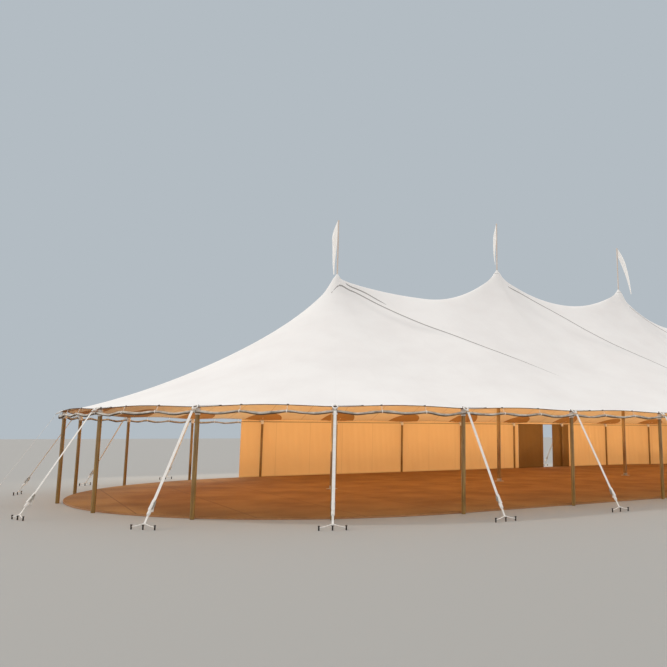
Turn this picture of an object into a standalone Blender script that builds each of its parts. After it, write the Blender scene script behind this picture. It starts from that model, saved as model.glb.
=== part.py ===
"""Sailcloth pole marquee with four centre poles and half-round ends.

The roof is a stretched skin that hangs from the centre pole heads, sags a little between them and comes
down to a row of guyed side poles. The front and the two ends are open, with their walls rolled up and
slung under the eave, outside the poles. The back wall hangs down outside the poles too, runs on round
part of the right end, and has two darker door panels with a gap between them.

Units are metres and +Z is up. The origin is on the ground under the middle of the tent, the ridge runs
along X, and the open front faces -Y.
"""

import math

import bmesh
import bpy
import numpy as np
from mathutils import Matrix, Vector

# Plan
SPAN_WIDTH = 15.0
CENTRE_POLES = 4
PEAK_SPACING = 6.54
SIDE_BAYS_PER_SPACING = 2
END_BAYS = 8

# Roof form
EAVE_HEIGHT = 2.33
OUTER_PEAK_HEIGHT = 6.82
INNER_PEAK_HEIGHT = 7.82
OUTER_SADDLE_HEIGHT = 6.48
INNER_SADDLE_HEIGHT = 6.915
RIDGE_POWER = 2.06
SLOPE_STRAIGHT_SHARE = 0.47
SLOPE_CUSP_SHARE = 0.11
CUSP_POWER = 8.9
MID_STRAIGHT_SHARE = 0.78
MID_ROUNDING_RADIUS = 0.4
ROOF_THICKNESS = 0.02
EAVE_BAND_WIDTH = 0.07
EAVE_OVERHANG_LENGTH = 0.08
EAVE_SCALLOP_DEPTH = 0.05
EAVE_RISE_HEIGHT = 0.035
EAVE_RISE_POWER = 6
PEAK_HOLE_RADIUS = 0.1
PEAK_FLAT_REACH = 0.2

# Mesh steps of the roof: the slope's as shares of its run, the others to each side bay
SLOPE_SHARES = (0.06, 0.12, 0.2, 0.31, 0.44, 0.6, 0.8)
STEPS_PER_END_BAY = 3
STEPS_PER_SIDE_BAY = 4

# Angles in degrees under which a fold between two faces is shaded smooth
CLOTH_SMOOTHING = 40
POLE_SMOOTHING = 35
ROLL_SMOOTHING = 60

# Clearances
SEAT_GAP = 0.0003
SEAM_GAP = 0.0004

# Side poles and their guys
SIDE_POLE_RADIUS = 0.0475
POLE_SIDES = 8
COLLAR_RADIUS = 0.06
COLLAR_LENGTH = 0.12
COLLAR_DROP = 0.015
GUY_REACH = 1.55
GUY_TAB_DROP = 0.035
RING_REACH = 0.19
RING_DROP = 0.065
RING_LENGTH = 0.04
RING_WIDTH = 0.075
RING_THICKNESS = 0.02
STRAP_WIDTH = 0.065
STRAP_THICKNESS = 0.008
SLEEVE_RADIUS = 0.032
SLEEVE_LENGTH = 0.3
SLEEVE_SIDES = 6
SLEEVE_CLEARANCE = 0.06
RATCHET_LENGTH = 0.17
RATCHET_WIDTH = 0.08
RATCHET_HEIGHT = 0.05
STAKES_PER_GUY = 3
STAKE_SPACING = 0.25
STAKE_RADIUS = 0.016
STAKE_SIDES = 6
STAKE_HEIGHT = 0.09
STAKE_LOOP_HEIGHT = 0.045
STAKE_LOOP_THICKNESS = 0.03

# Centre poles, masts and pennants
CENTRE_POLE_RADIUS = 0.07
CENTRE_POLE_SIDES = 12
BASE_PLATE_RADIUS = 0.17
BASE_PLATE_THICKNESS = 0.02
HEAD_RADIUS = 0.17
HEAD_THICKNESS = 0.05
BOOT_RADIUS = 0.085
BOOT_HEIGHT = 0.16
MAST_RADIUS = 0.025
MAST_HEIGHT = 2.0
PENNANT_HOIST_WIDTH = 0.36
PENNANT_LENGTH = 1.75
PENNANT_TIP_WIDTH = 0.05
PENNANT_THICKNESS = 0.012
PENNANT_TOP_DROP = 0.03
PENNANT_STEPS = 8

# Each pennant's heading in degrees, then the angles in radians, below the level, at which it leaves its
# mast and hangs at its tip
PENNANT_LIES = [(148, 1.2, 1.5), (238, 0.5, 0.9), (-32, 1.1, 1.4), (-32, 0.9, 1.4)]

# Floor, hanging wall and rolled walls
FLOOR_THICKNESS = 0.045
FLOOR_INSET = 0.13
WALL_THICKNESS = 0.02
WALL_TOP_DROP = 0.06
LEFT_RETURN_LENGTH = 0.85
RIGHT_RETURN_BAYS = 2
DOOR_START_DISTANCE = 3.6
DOOR_LEFT_WIDTH = 1.65
DOOR_GAP_WIDTH = 0.63
DOOR_RIGHT_WIDTH = 1.17
ROLL_RADIUS = 0.04
ROLL_SIDES = 6
ROLL_TOP_DROP = 0.065
ROLL_SAG_DEPTH = 0.045
ROLL_TIES_PER_BAY = 3
ROLL_END_GAP = 0.02

# Worked out from the sizes above
HALF_SPAN = SPAN_WIDTH / 2
HALF_RIDGE = PEAK_SPACING * (CENTRE_POLES - 1) / 2
SIDE_SPACING = PEAK_SPACING / SIDE_BAYS_PER_SPACING
SIDE_BAYS = SIDE_BAYS_PER_SPACING * (CENTRE_POLES - 1)
END_STEP = math.pi / END_BAYS
SLOPE_RUN = HALF_SPAN - EAVE_BAND_WIDTH
POLE_TOP = EAVE_HEIGHT - SEAT_GAP
COLLAR_TOP = POLE_TOP - COLLAR_DROP
WALL_LINE_RADIUS = HALF_SPAN + COLLAR_RADIUS + SEAT_GAP

CENTRE_POLE_X = [PEAK_SPACING * i - HALF_RIDGE for i in range(CENTRE_POLES)]
SIDE_POLE_X = [SIDE_SPACING * i - HALF_RIDGE for i in range(SIDE_BAYS + 1)]


def clear_scene():
    for obj in list(bpy.data.objects):
        bpy.data.objects.remove(obj, do_unlink=True)


def make_material(name, colour, roughness, metallic=0.0):
    material = bpy.data.materials.new(name)
    material.use_nodes = True
    shader = material.node_tree.nodes["Principled BSDF"]
    shader.inputs["Base Color"].default_value = (*colour, 1.0)
    shader.inputs["Roughness"].default_value = roughness
    shader.inputs["Metallic"].default_value = metallic
    material.diffuse_color = (*colour, 1.0)
    return material


def add_object(name, mesh, material):
    obj = bpy.data.objects.new(name, mesh)
    if not mesh.materials:
        mesh.materials.append(material)
    bpy.context.scene.collection.objects.link(obj)
    return obj


def mesh_of(name, bm):
    bmesh.ops.recalc_face_normals(bm, faces=bm.faces)
    mesh = bpy.data.meshes.new(name)
    bm.to_mesh(mesh)
    bm.free()
    return mesh


def smooth(mesh, degrees):
    mesh.shade_smooth()
    mesh.set_sharp_from_angle(angle=math.radians(degrees))
    return mesh


def loft(name, rings):
    """A closed tube through the rings, which have the same number of points, with flat caps."""
    bm = bmesh.new()
    rows = [[bm.verts.new(point) for point in ring] for ring in rings]
    count = len(rows[0])
    for near, far in zip(rows, rows[1:]):
        for i in range(count):
            j = (i + 1) % count
            bm.faces.new((near[i], near[j], far[j], far[i]))
    bm.faces.new(rows[0])
    bm.faces.new(rows[-1])
    return mesh_of(name, bm)


def shell(name, under, thickness):
    """A closed skin over a grid of underside points, thickened straight up."""
    bm = bmesh.new()
    lift = Vector((0.0, 0.0, thickness))
    low = [[bm.verts.new(p) for p in row] for row in under]
    high = [[bm.verts.new(Vector(p) + lift) for p in row] for row in under]
    rows = len(low)
    columns = len(low[0])
    for i in range(rows - 1):
        for j in range(columns - 1):
            bm.faces.new((low[i][j], low[i + 1][j], low[i + 1][j + 1], low[i][j + 1]))
            bm.faces.new((high[i][j], high[i][j + 1], high[i + 1][j + 1], high[i + 1][j]))
    rim = [(i, 0) for i in range(rows)]
    rim += [(rows - 1, j) for j in range(1, columns)]
    rim += [(i, columns - 1) for i in range(rows - 2, -1, -1)]
    rim += [(0, j) for j in range(columns - 2, 0, -1)]
    for (i, j), (k, m) in zip(rim, rim[1:] + rim[:1]):
        bm.faces.new((low[i][j], high[i][j], high[k][m], low[k][m]))
    return mesh_of(name, bm)


# Roof surface


def slope_section(t, straight, cusp):
    """Share of the rise at t, from 0 at the eave to 1 on the ridge."""
    return straight * t + (1 - straight - cusp) * t**2 + cusp * t**CUSP_POWER


def peak_height(x):
    """Height of the centre pole head that is nearest to x."""
    nearest = min(CENTRE_POLE_X, key=lambda pole: abs(pole - x))
    outer = nearest in (CENTRE_POLE_X[0], CENTRE_POLE_X[-1])
    return OUTER_PEAK_HEIGHT if outer else INNER_PEAK_HEIGHT


def between_poles(x):
    """0 on a line of centre poles, 1 midway between two, and 0 beyond the last."""
    if abs(x) >= HALF_RIDGE:
        return 0.0
    nearest = min(abs(pole - x) for pole in CENTRE_POLE_X)
    return nearest / (PEAK_SPACING / 2)


def ridge_height(x):
    middle = between_poles(x)
    inner_bay = abs(x) < HALF_RIDGE - PEAK_SPACING
    saddle = INNER_SADDLE_HEIGHT if inner_bay else OUTER_SADDLE_HEIGHT
    peak = peak_height(x)
    return saddle + (peak - saddle) * (1 - middle) ** RIDGE_POWER


def bay_share(x, y):
    """Share of the way from one side pole to the next, at the part of the eave that is outside a point."""
    if abs(x) <= HALF_RIDGE:
        return (x + HALF_RIDGE) / SIDE_SPACING % 1
    return (math.atan2(y, abs(x) - HALF_RIDGE) + math.pi / 2) / END_STEP % 1


def roof_height(x, y):
    """Underside of the roof over a point of the plan. Between the side poles the eave rises a little."""
    beyond = max(abs(x) - HALF_RIDGE, 0.0)
    from_ridge = math.hypot(beyond, y)
    to_head = min(max(abs(x - pole), abs(y)) for pole in CENTRE_POLE_X)
    if to_head <= PEAK_FLAT_REACH + SEAM_GAP:
        return peak_height(x)
    middle = between_poles(x)
    blend = middle**2 * (3 - 2 * middle)
    rounding = MID_ROUNDING_RADIUS * blend
    rise = math.hypot(from_ridge, rounding) - rounding
    full = math.hypot(SLOPE_RUN, rounding) - rounding
    t = max(1 - rise / full, 0.0)
    straight = SLOPE_STRAIGHT_SHARE + (MID_STRAIGHT_SHARE - SLOPE_STRAIGHT_SHARE) * blend
    share = slope_section(t, straight, SLOPE_CUSP_SHARE * (1 - blend))
    eave_rise = EAVE_RISE_HEIGHT * math.sin(math.pi * bay_share(x, y)) ** 2 * (1 - t) ** EAVE_RISE_POWER
    return EAVE_HEIGHT + (ridge_height(x) - EAVE_HEIGHT) * share + eave_rise


def eave_edge(share):
    """Distance of the roof's edge from the ridge line, at a share of the way between two side poles."""
    return HALF_SPAN + EAVE_OVERHANG_LENGTH - EAVE_SCALLOP_DEPTH * math.sin(math.pi * share) ** 2


def slope_stations(edge):
    """Distances from the ridge line at which the skin has a row of points, head to eave."""
    inner = [PEAK_HOLE_RADIUS, PEAK_FLAT_REACH]
    return inner + [share * SLOPE_RUN for share in SLOPE_SHARES] + [SLOPE_RUN, edge]


def roof_end(name, side, material):
    """The half-round end section. Side is -1 for the left end and +1 for the right."""
    steps = END_BAYS * STEPS_PER_END_BAY
    rows = []
    for j in range(steps + 1):
        angle = math.pi * (j / steps - 0.5)
        edge = eave_edge(j / STEPS_PER_END_BAY % 1)
        row = []
        for radius in slope_stations(edge):
            x = side * (HALF_RIDGE + radius * math.cos(angle))
            y = radius * math.sin(angle)
            z = roof_height(x, y)
            row.append((x + side * SEAM_GAP / 2, y, z))
        rows.append(row)
    mesh = smooth(shell(name, rows, ROOF_THICKNESS), CLOTH_SMOOTHING)
    return add_object(name, mesh, material)


def roof_bay(name, left, material):
    """One section between two lines of centre poles. It has a half-round notch at each pole head."""
    right = left + PEAK_SPACING
    steps = STEPS_PER_SIDE_BAY * SIDE_BAYS_PER_SPACING
    even = [left + PEAK_SPACING * i / steps for i in range(1, steps)]
    columns = []
    for station in [left, left + PEAK_FLAT_REACH] + even + [right - PEAK_FLAT_REACH, right]:
        edge = eave_edge((station - left) / SIDE_SPACING % 1)
        half = slope_stations(edge)
        notch = [-PEAK_HOLE_RADIUS / 2, 0.0, PEAK_HOLE_RADIUS / 2]
        column = []
        for y in [-d for d in reversed(half)] + notch + half:
            inset = SEAM_GAP / 2 + math.sqrt(max(PEAK_HOLE_RADIUS**2 - y**2, 0.0))
            x = min(max(station, left + inset), right - inset)
            column.append((x, y, roof_height(x, y)))
        columns.append(column)
    mesh = smooth(shell(name, columns, ROOF_THICKNESS), CLOTH_SMOOTHING)
    return add_object(name, mesh, material)


# Shapes that are joined into one solid


def prism_between(bm, start, end, radius, sides):
    """Adds a closed prism between two points."""
    axis = end - start
    turn = axis.to_track_quat("Z", "Y").to_matrix().to_4x4()
    bmesh.ops.create_cone(
        bm,
        cap_ends=True,
        segments=sides,
        radius1=radius,
        radius2=radius,
        depth=axis.length,
        matrix=Matrix.Translation((start + end) / 2) @ turn,
    )


def box_between(bm, start, end, width, height):
    """Adds a closed bar between two points. Its width lies along Y."""
    axis = end - start
    along = axis.normalized()
    across = Vector((0.0, 1.0, 0.0))
    normal = along.cross(across)
    frame = Matrix((along, across, normal)).transposed().to_4x4()
    size = Matrix.Diagonal((axis.length, width, height, 1.0))
    middle = Matrix.Translation((start + end) / 2)
    bmesh.ops.create_cube(bm, size=1.0, matrix=middle @ frame @ size)


def piece(name, add_shape, start, end, *sizes):
    """A hidden helper object that holds one closed shape between two points, for a union."""
    bm = bmesh.new()
    add_shape(bm, Vector(start), Vector(end), *sizes)
    obj = bpy.data.objects.new(name, mesh_of(name, bm))
    bpy.context.scene.collection.objects.link(obj)
    obj.hide_render = True
    obj.display_type = "WIRE"
    return obj


def union_mesh(name, shapes):
    """One mesh that is the union of the shapes, which are then removed."""
    base = shapes[0]
    for shape in shapes[1:]:
        modifier = base.modifiers.new("union " + shape.name, "BOOLEAN")
        modifier.operation = "UNION"
        modifier.solver = "EXACT"
        modifier.object = shape
    bpy.context.view_layer.update()
    evaluated = base.evaluated_get(bpy.context.evaluated_depsgraph_get())
    mesh = bpy.data.meshes.new_from_object(evaluated)
    mesh.name = name
    for shape in shapes:
        bpy.data.objects.remove(shape, do_unlink=True)
    return mesh


# Side poles


def guyed_pole_mesh():
    """A side pole with its strap, sleeve, ratchet and stakes. The guy runs out along local +X.

    The strap leaves the pole's head as a short tab over the rolled wall, and turns down at a ring.
    """
    tab_start = Vector((COLLAR_RADIUS / 2, 0.0, EAVE_HEIGHT - GUY_TAB_DROP))
    ring = Vector((RING_REACH, 0.0, EAVE_HEIGHT - RING_DROP))
    strap_foot = Vector((GUY_REACH, 0.0, STAKE_LOOP_HEIGHT))
    along = (strap_foot - ring).normalized()
    ring_half = along * RING_LENGTH / 2
    sleeve_low = strap_foot - along * SLEEVE_CLEARANCE
    ratchet_low = sleeve_low - along * SLEEVE_LENGTH
    ratchet_high = ratchet_low - along * RATCHET_LENGTH
    sleeve_high = ratchet_low - along * RATCHET_LENGTH / 2
    row = STAKE_SPACING * (STAKES_PER_GUY - 1) / 2
    loop_near = strap_foot - Vector((STAKE_LOOP_THICKNESS / 2, 0.0, 0.0))
    loop_far = strap_foot + Vector((STAKE_LOOP_THICKNESS / 2, 0.0, 0.0))
    collar_low = COLLAR_TOP - COLLAR_LENGTH
    shapes = [
        piece("pole", prism_between, (0, 0, 0), (0, 0, POLE_TOP), SIDE_POLE_RADIUS, POLE_SIDES),
        piece("collar", prism_between, (0, 0, collar_low), (0, 0, COLLAR_TOP), COLLAR_RADIUS, POLE_SIDES),
        piece("tab", box_between, tab_start, ring, STRAP_WIDTH, STRAP_THICKNESS),
        piece("ring", box_between, ring - ring_half, ring + ring_half, RING_WIDTH, RING_THICKNESS),
        piece("strap", box_between, ring, strap_foot, STRAP_WIDTH, STRAP_THICKNESS),
        piece("sleeve", prism_between, sleeve_high, sleeve_low, SLEEVE_RADIUS, SLEEVE_SIDES),
        piece("ratchet", box_between, ratchet_high, ratchet_low, RATCHET_WIDTH, RATCHET_HEIGHT),
        piece("stake loop", box_between, loop_near, loop_far, 2 * row + STAKE_RADIUS, STAKE_LOOP_THICKNESS),
    ]
    for i in range(STAKES_PER_GUY):
        foot = Vector((GUY_REACH, STAKE_SPACING * i - row, 0.0))
        head = foot + Vector((0.0, 0.0, STAKE_HEIGHT))
        shapes.append(piece(f"stake {i}", prism_between, foot, head, STAKE_RADIUS, STAKE_SIDES))
    return union_mesh("guyed pole", shapes)


def side_poles(material):
    mesh = smooth(guyed_pole_mesh(), POLE_SMOOTHING)
    places = []
    for i, x in enumerate(SIDE_POLE_X, start=1):
        places.append((f"side_pole_front_{i}", x, -HALF_SPAN, -math.pi / 2))
        places.append((f"side_pole_back_{i}", x, HALF_SPAN, math.pi / 2))
    for i in range(1, END_BAYS):
        turn = math.pi / 2 - i * END_STEP
        reach = HALF_RIDGE + HALF_SPAN * math.cos(turn)
        y = -HALF_SPAN * math.sin(turn)
        places.append((f"side_pole_left_{i}", -reach, y, math.pi + turn))
        places.append((f"side_pole_right_{i}", reach, y, -turn))
    for name, x, y, turn in places:
        pole = add_object(name, mesh, material)
        pole.location = (x, y, 0.0)
        pole.rotation_euler = (0.0, 0.0, turn)


# Centre poles


def centre_pole(name, x, material):
    """Timber pole with its base plate, the head that carries the roof, the boot and the mast."""
    foot = FLOOR_THICKNESS + SEAT_GAP
    head = peak_height(x) - SEAT_GAP
    profile = [
        (BASE_PLATE_RADIUS, foot),
        (BASE_PLATE_RADIUS, foot + BASE_PLATE_THICKNESS),
        (CENTRE_POLE_RADIUS, foot + BASE_PLATE_THICKNESS),
        (CENTRE_POLE_RADIUS, head - HEAD_THICKNESS),
        (HEAD_RADIUS, head - HEAD_THICKNESS),
        (HEAD_RADIUS, head),
        (BOOT_RADIUS, head),
        (MAST_RADIUS, head + BOOT_HEIGHT),
        (MAST_RADIUS, head + MAST_HEIGHT),
    ]
    steps = [2 * math.pi * i / CENTRE_POLE_SIDES for i in range(CENTRE_POLE_SIDES)]
    rings = [[(r * math.cos(a), r * math.sin(a), z) for a in steps] for r, z in profile]
    pole = add_object(name, smooth(loft(name, rings), POLE_SMOOTHING), material)
    pole.location = (x, 0.0, 0.0)


def pennant(name, x, heading, lift_angle, drop_angle, material):
    """A long flag that droops from the masthead. Its fly bends from lift_angle down to drop_angle."""
    top = peak_height(x) - SEAT_GAP + MAST_HEIGHT - PENNANT_TOP_DROP
    start = MAST_RADIUS + SEAT_GAP
    point = np.array([start, top - PENNANT_HOIST_WIDTH / 2])
    step = PENNANT_LENGTH / PENNANT_STEPS
    rings = []
    for i in range(PENNANT_STEPS + 1):
        share = i / PENNANT_STEPS
        angle = lift_angle + (drop_angle - lift_angle) * share**0.6
        direction = np.array([math.cos(angle), -math.sin(angle)])
        across = np.array([math.sin(angle), math.cos(angle)]) if i else np.array([0.0, 1.0])
        half = (PENNANT_HOIST_WIDTH + (PENNANT_TIP_WIDTH - PENNANT_HOIST_WIDTH) * share) / 2
        high = np.maximum(point + across * half, (start, 0.0))
        low = np.maximum(point - across * half, (start, 0.0))
        y = PENNANT_THICKNESS / 2
        corners = [(high, -y), (high, y), (low, y), (low, -y)]
        rings.append([(edge[0], side, edge[1]) for edge, side in corners])
        point = point + direction * step
    flag = add_object(name, loft(name, rings), material)
    flag.location = (x, 0.0, 0.0)
    flag.rotation_euler = (0.0, 0.0, heading)


# Lines that run round the plan


def plan_point(distance, radius):
    """A point at a distance along the outline, from the middle of the back towards the right end.

    The outline is taken at a radius from the ridge line, and the distance is measured at the poles.
    """
    side = -1 if distance < 0 else 1
    run = abs(distance)
    if run <= HALF_RIDGE:
        return side * run, radius
    turn = (run - HALF_RIDGE) / HALF_SPAN
    if turn <= math.pi:
        return side * (HALF_RIDGE + radius * math.sin(turn)), radius * math.cos(turn)
    return side * (HALF_RIDGE - (run - HALF_RIDGE - math.pi * HALF_SPAN)), -radius


def outline_stations(start, end, steps_per_bay):
    """Distances from start to end, with one at each side pole and equal steps between the poles."""
    end_bay = math.pi * HALF_SPAN / END_BAYS
    poles = [HALF_RIDGE + end_bay * i for i in range(END_BAYS + 1)]
    poles += [poles[-1] + SIDE_SPACING * i for i in range(1, SIDE_BAYS // 2 + 1)]
    poles = [-p for p in reversed(poles)] + SIDE_POLE_X[1:-1] + poles
    stations = []
    for near, far in zip(poles, poles[1:]):
        stations += [near + (far - near) * i / steps_per_bay for i in range(steps_per_bay)]
    return [start] + [s for s in stations if start + ROLL_END_GAP < s < end - ROLL_END_GAP] + [end]


def hanging_wall(name, start, end, material):
    """A wall cloth that hangs outside the poles, from just under the eave to the ground."""
    inner = WALL_LINE_RADIUS
    outer = WALL_LINE_RADIUS + WALL_THICKNESS
    top = EAVE_HEIGHT - WALL_TOP_DROP
    rings = []
    for distance in outline_stations(start, end, STEPS_PER_SIDE_BAY):
        ox, oy = plan_point(distance, outer)
        ix, iy = plan_point(distance, inner)
        rings.append([(ox, oy, 0.0), (ox, oy, top), (ix, iy, top), (ix, iy, 0.0)])
    add_object(name, loft(name, rings), material)


def rolled_wall(name, start, end, material):
    """A wall cloth rolled up and tied below the eave, which sags a little between its ties."""
    centre = WALL_LINE_RADIUS + ROLL_RADIUS
    rings = []
    for distance in outline_stations(start, end, 2 * ROLL_TIES_PER_BAY):
        ties = bay_share(*plan_point(distance, HALF_SPAN)) * ROLL_TIES_PER_BAY
        z = EAVE_HEIGHT - ROLL_TOP_DROP - ROLL_RADIUS - ROLL_SAG_DEPTH * math.sin(math.pi * ties) ** 2
        ring = []
        for i in range(ROLL_SIDES):
            angle = 2 * math.pi * i / ROLL_SIDES
            x, y = plan_point(distance, centre + ROLL_RADIUS * math.cos(angle))
            ring.append((x, y, z + ROLL_RADIUS * math.sin(angle)))
        rings.append(ring)
    add_object(name, smooth(loft(name, rings), ROLL_SMOOTHING), material)


def floor_deck(name, material):
    """The boarded floor, in the shape of the plan, just inside the poles and walls."""
    radius = HALF_SPAN - FLOOR_INSET
    steps = END_BAYS * STEPS_PER_END_BAY
    outline = []
    for side in (1, -1):
        for i in range(steps + 1):
            angle = side * (math.pi * (i / steps - 0.5))
            outline.append((side * (HALF_RIDGE + radius * math.cos(angle)), radius * math.sin(angle)))
    rings = [[(x, y, z) for x, y in outline] for z in (0.0, FLOOR_THICKNESS)]
    add_object(name, loft(name, rings), material)


def build():
    clear_scene()
    canvas = make_material("sailcloth", (0.86, 0.82, 0.77), 0.7)
    timber = make_material("varnished timber", (0.36, 0.2, 0.08), 0.45)
    matting = make_material("coir matting", (0.28, 0.1, 0.02), 0.95)
    wall_cloth = make_material("lined wall cloth", (0.78, 0.46, 0.2), 0.8)
    door_cloth = make_material("brown door cloth", (0.16, 0.06, 0.02), 0.85)
    rolled_cloth = make_material("rolled wall cloth", (0.62, 0.58, 0.5), 0.7)
    flag_cloth = make_material("flag cloth", (0.85, 0.84, 0.82), 0.8)

    roof_end("roof_left_end", -1, canvas)
    for i, left in enumerate(CENTRE_POLE_X[:-1], start=1):
        roof_bay(f"roof_bay_{i}", left, canvas)
    roof_end("roof_right_end", 1, canvas)

    side_poles(timber)

    for i, x in enumerate(CENTRE_POLE_X, start=1):
        centre_pole(f"centre_pole_{i}", x, timber)
        heading, lift, drop = PENNANT_LIES[(i - 1) % len(PENNANT_LIES)]
        pennant(f"pennant_{i}", x, math.radians(heading), lift, drop, flag_cloth)

    floor_deck("floor_deck", matting)

    wall_left_end = -HALF_RIDGE - LEFT_RETURN_LENGTH
    wall_right_end = HALF_RIDGE + RIGHT_RETURN_BAYS * END_STEP * HALF_SPAN
    door_left_end = DOOR_START_DISTANCE + DOOR_LEFT_WIDTH
    door_right_start = door_left_end + DOOR_GAP_WIDTH
    door_right_end = door_right_start + DOOR_RIGHT_WIDTH
    hanging_wall("back_wall_left", wall_left_end, DOOR_START_DISTANCE - SEAT_GAP, wall_cloth)
    hanging_wall("door_panel_left", DOOR_START_DISTANCE, door_left_end, door_cloth)
    hanging_wall("door_panel_right", door_right_start, door_right_end, door_cloth)
    hanging_wall("back_wall_right", door_right_end + SEAT_GAP, wall_right_end, wall_cloth)

    front_corner = HALF_RIDGE + math.pi * HALF_SPAN
    front_middle = front_corner + HALF_RIDGE - ROLL_END_GAP / 2
    front_start = front_corner + ROLL_END_GAP
    left_roll_end = wall_left_end - ROLL_END_GAP
    right_roll_start = wall_right_end + ROLL_END_GAP
    rolled_wall("rolled_wall_left_end", -front_corner, left_roll_end, rolled_cloth)
    rolled_wall("rolled_wall_right_end", right_roll_start, front_corner, rolled_cloth)
    rolled_wall("rolled_wall_front_left", -front_middle, -front_start, rolled_cloth)
    rolled_wall("rolled_wall_front_right", front_start, front_middle, rolled_cloth)


build()
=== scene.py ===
"""Looks of the sailcloth pole marquee: cloth, timber, webbing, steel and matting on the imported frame.

Units are metres and +Z is up. The ridge runs along X and the open front faces -Y, as in the frame.
"""

import logging
import math
from collections.abc import Callable, Iterable, Sequence
from dataclasses import dataclass
from enum import Enum

import bmesh
import bpy
import numpy as np
from mathutils import Matrix, Vector, noise


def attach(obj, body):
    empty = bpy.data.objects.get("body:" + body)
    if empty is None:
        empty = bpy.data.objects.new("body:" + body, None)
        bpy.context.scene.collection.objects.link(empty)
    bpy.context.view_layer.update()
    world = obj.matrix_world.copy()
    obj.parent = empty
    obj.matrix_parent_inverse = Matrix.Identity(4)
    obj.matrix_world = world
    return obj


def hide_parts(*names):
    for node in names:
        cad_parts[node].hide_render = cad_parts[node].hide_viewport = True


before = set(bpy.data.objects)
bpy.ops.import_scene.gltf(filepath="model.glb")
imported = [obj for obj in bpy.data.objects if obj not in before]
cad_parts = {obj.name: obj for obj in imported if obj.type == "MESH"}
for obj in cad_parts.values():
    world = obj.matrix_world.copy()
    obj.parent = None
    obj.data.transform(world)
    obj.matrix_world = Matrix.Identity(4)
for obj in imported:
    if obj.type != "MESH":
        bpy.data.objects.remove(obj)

log = logging.getLogger("marquee")

BODY = "root"

WALL_LINE = 7.5735
WALL_PANEL = 1.48

Object = bpy.types.Object
Material = bpy.types.Material
Tree = bpy.types.NodeTree
Node = bpy.types.Node
Socket = bpy.types.NodeSocket
Pair = tuple[float, float]
Point = tuple[float, float, float]
Colour = tuple[float, float, float, float]


# Colours and nodes


def linear(hex_colour: str) -> Colour:
    """Turns an sRGB colour into the linear values that shaders and lamps take.

    Args:
        hex_colour: Six hexadecimal digits after a hash sign.

    Returns:
        Red, green and blue, linear, and full alpha.
    """
    parts = [int(hex_colour[i : i + 2], 16) / 255 for i in (1, 3, 5)]
    red, green, blue = (c / 12.92 if c <= 0.04045 else ((c + 0.055) / 1.055) ** 2.4 for c in parts)
    return red, green, blue, 1.0


def add(tree: Tree, kind: str, settings: dict | None = None, inputs: dict | None = None) -> Node:
    """Adds a shader node with its settings and its links.

    Args:
        tree: The material's nodes.
        kind: The node's type, without its ShaderNode prefix.
        settings: Values of the node's own properties.
        inputs: A value, or another node's output, for each input by name or number.

    Returns:
        The new node.
    """
    node = tree.nodes.new("ShaderNode" + kind)
    for name, value in (settings or {}).items():
        setattr(node, name, value)
    for key, value in (inputs or {}).items():
        if isinstance(value, Socket):
            tree.links.new(value, node.inputs[key])
        else:
            node.inputs[key].default_value = value
    return node


def blank_material(name: str) -> tuple[Material, Tree, Node]:
    """Makes an empty node material.

    Args:
        name: The material's name.

    Returns:
        The material, its nodes and its output node.
    """
    material = bpy.data.materials.new(name)
    material.use_nodes = True
    tree = material.node_tree
    tree.nodes.clear()
    return material, tree, tree.nodes.new("ShaderNodeOutputMaterial")


def two_tone(tree: Tree, factor: Socket, low: Colour, high: Colour, span: Pair) -> Socket:
    """Adds a colour ramp between two colours.

    Args:
        tree: The material's nodes.
        factor: What drives the ramp.
        low: The colour at the first stop.
        high: The colour at the second stop.
        span: Where the two stops stand.

    Returns:
        The ramp's colour output.
    """
    ramp = add(tree, "ValToRGB", None, {"Fac": factor})
    ramp.color_ramp.elements[0].position, ramp.color_ramp.elements[1].position = span
    ramp.color_ramp.elements[0].color, ramp.color_ramp.elements[1].color = low, high
    return ramp.outputs["Color"]


def line_mask(tree: Tree, value: Socket, half: float) -> Socket:
    """Marks thin lines where a value passes each whole number.

    Args:
        tree: The material's nodes.
        value: The value to watch.
        half: Half of a line's width, in the value's own unit.

    Returns:
        An output that is 1 on a line and falls to 0 beside it.
    """
    soft = 0.4
    shifted = add(tree, "Math", {"operation": "ADD"}, {0: value, 1: 0.5})
    share = add(tree, "Math", {"operation": "FRACT"}, {0: shifted.outputs[0]})
    centred = add(tree, "Math", {"operation": "SUBTRACT"}, {0: share.outputs[0], 1: 0.5})
    away = add(tree, "Math", {"operation": "ABSOLUTE"}, {0: centred.outputs[0]})
    fade = {"Value": away.outputs[0], "From Min": half * (1 - soft), "From Max": half * (1 + soft),
            "To Min": 1.0, "To Max": 0.0}
    return add(tree, "MapRange", {"interpolation_type": "SMOOTHSTEP"}, fade).outputs[0]


def tinted(tree: Tree, factor: object, under: object, over: object) -> Socket:
    """Lays one colour over another.

    Args:
        tree: The material's nodes.
        factor: How much of the upper colour shows.
        under: The lower colour, or what drives it.
        over: The upper colour, or what drives it.

    Returns:
        The mixed colour.
    """
    mix = add(tree, "Mix", {"data_type": "RGBA"}, {"Factor": factor, "A": under, "B": over})
    return mix.outputs["Result"]


# Finishes


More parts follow.
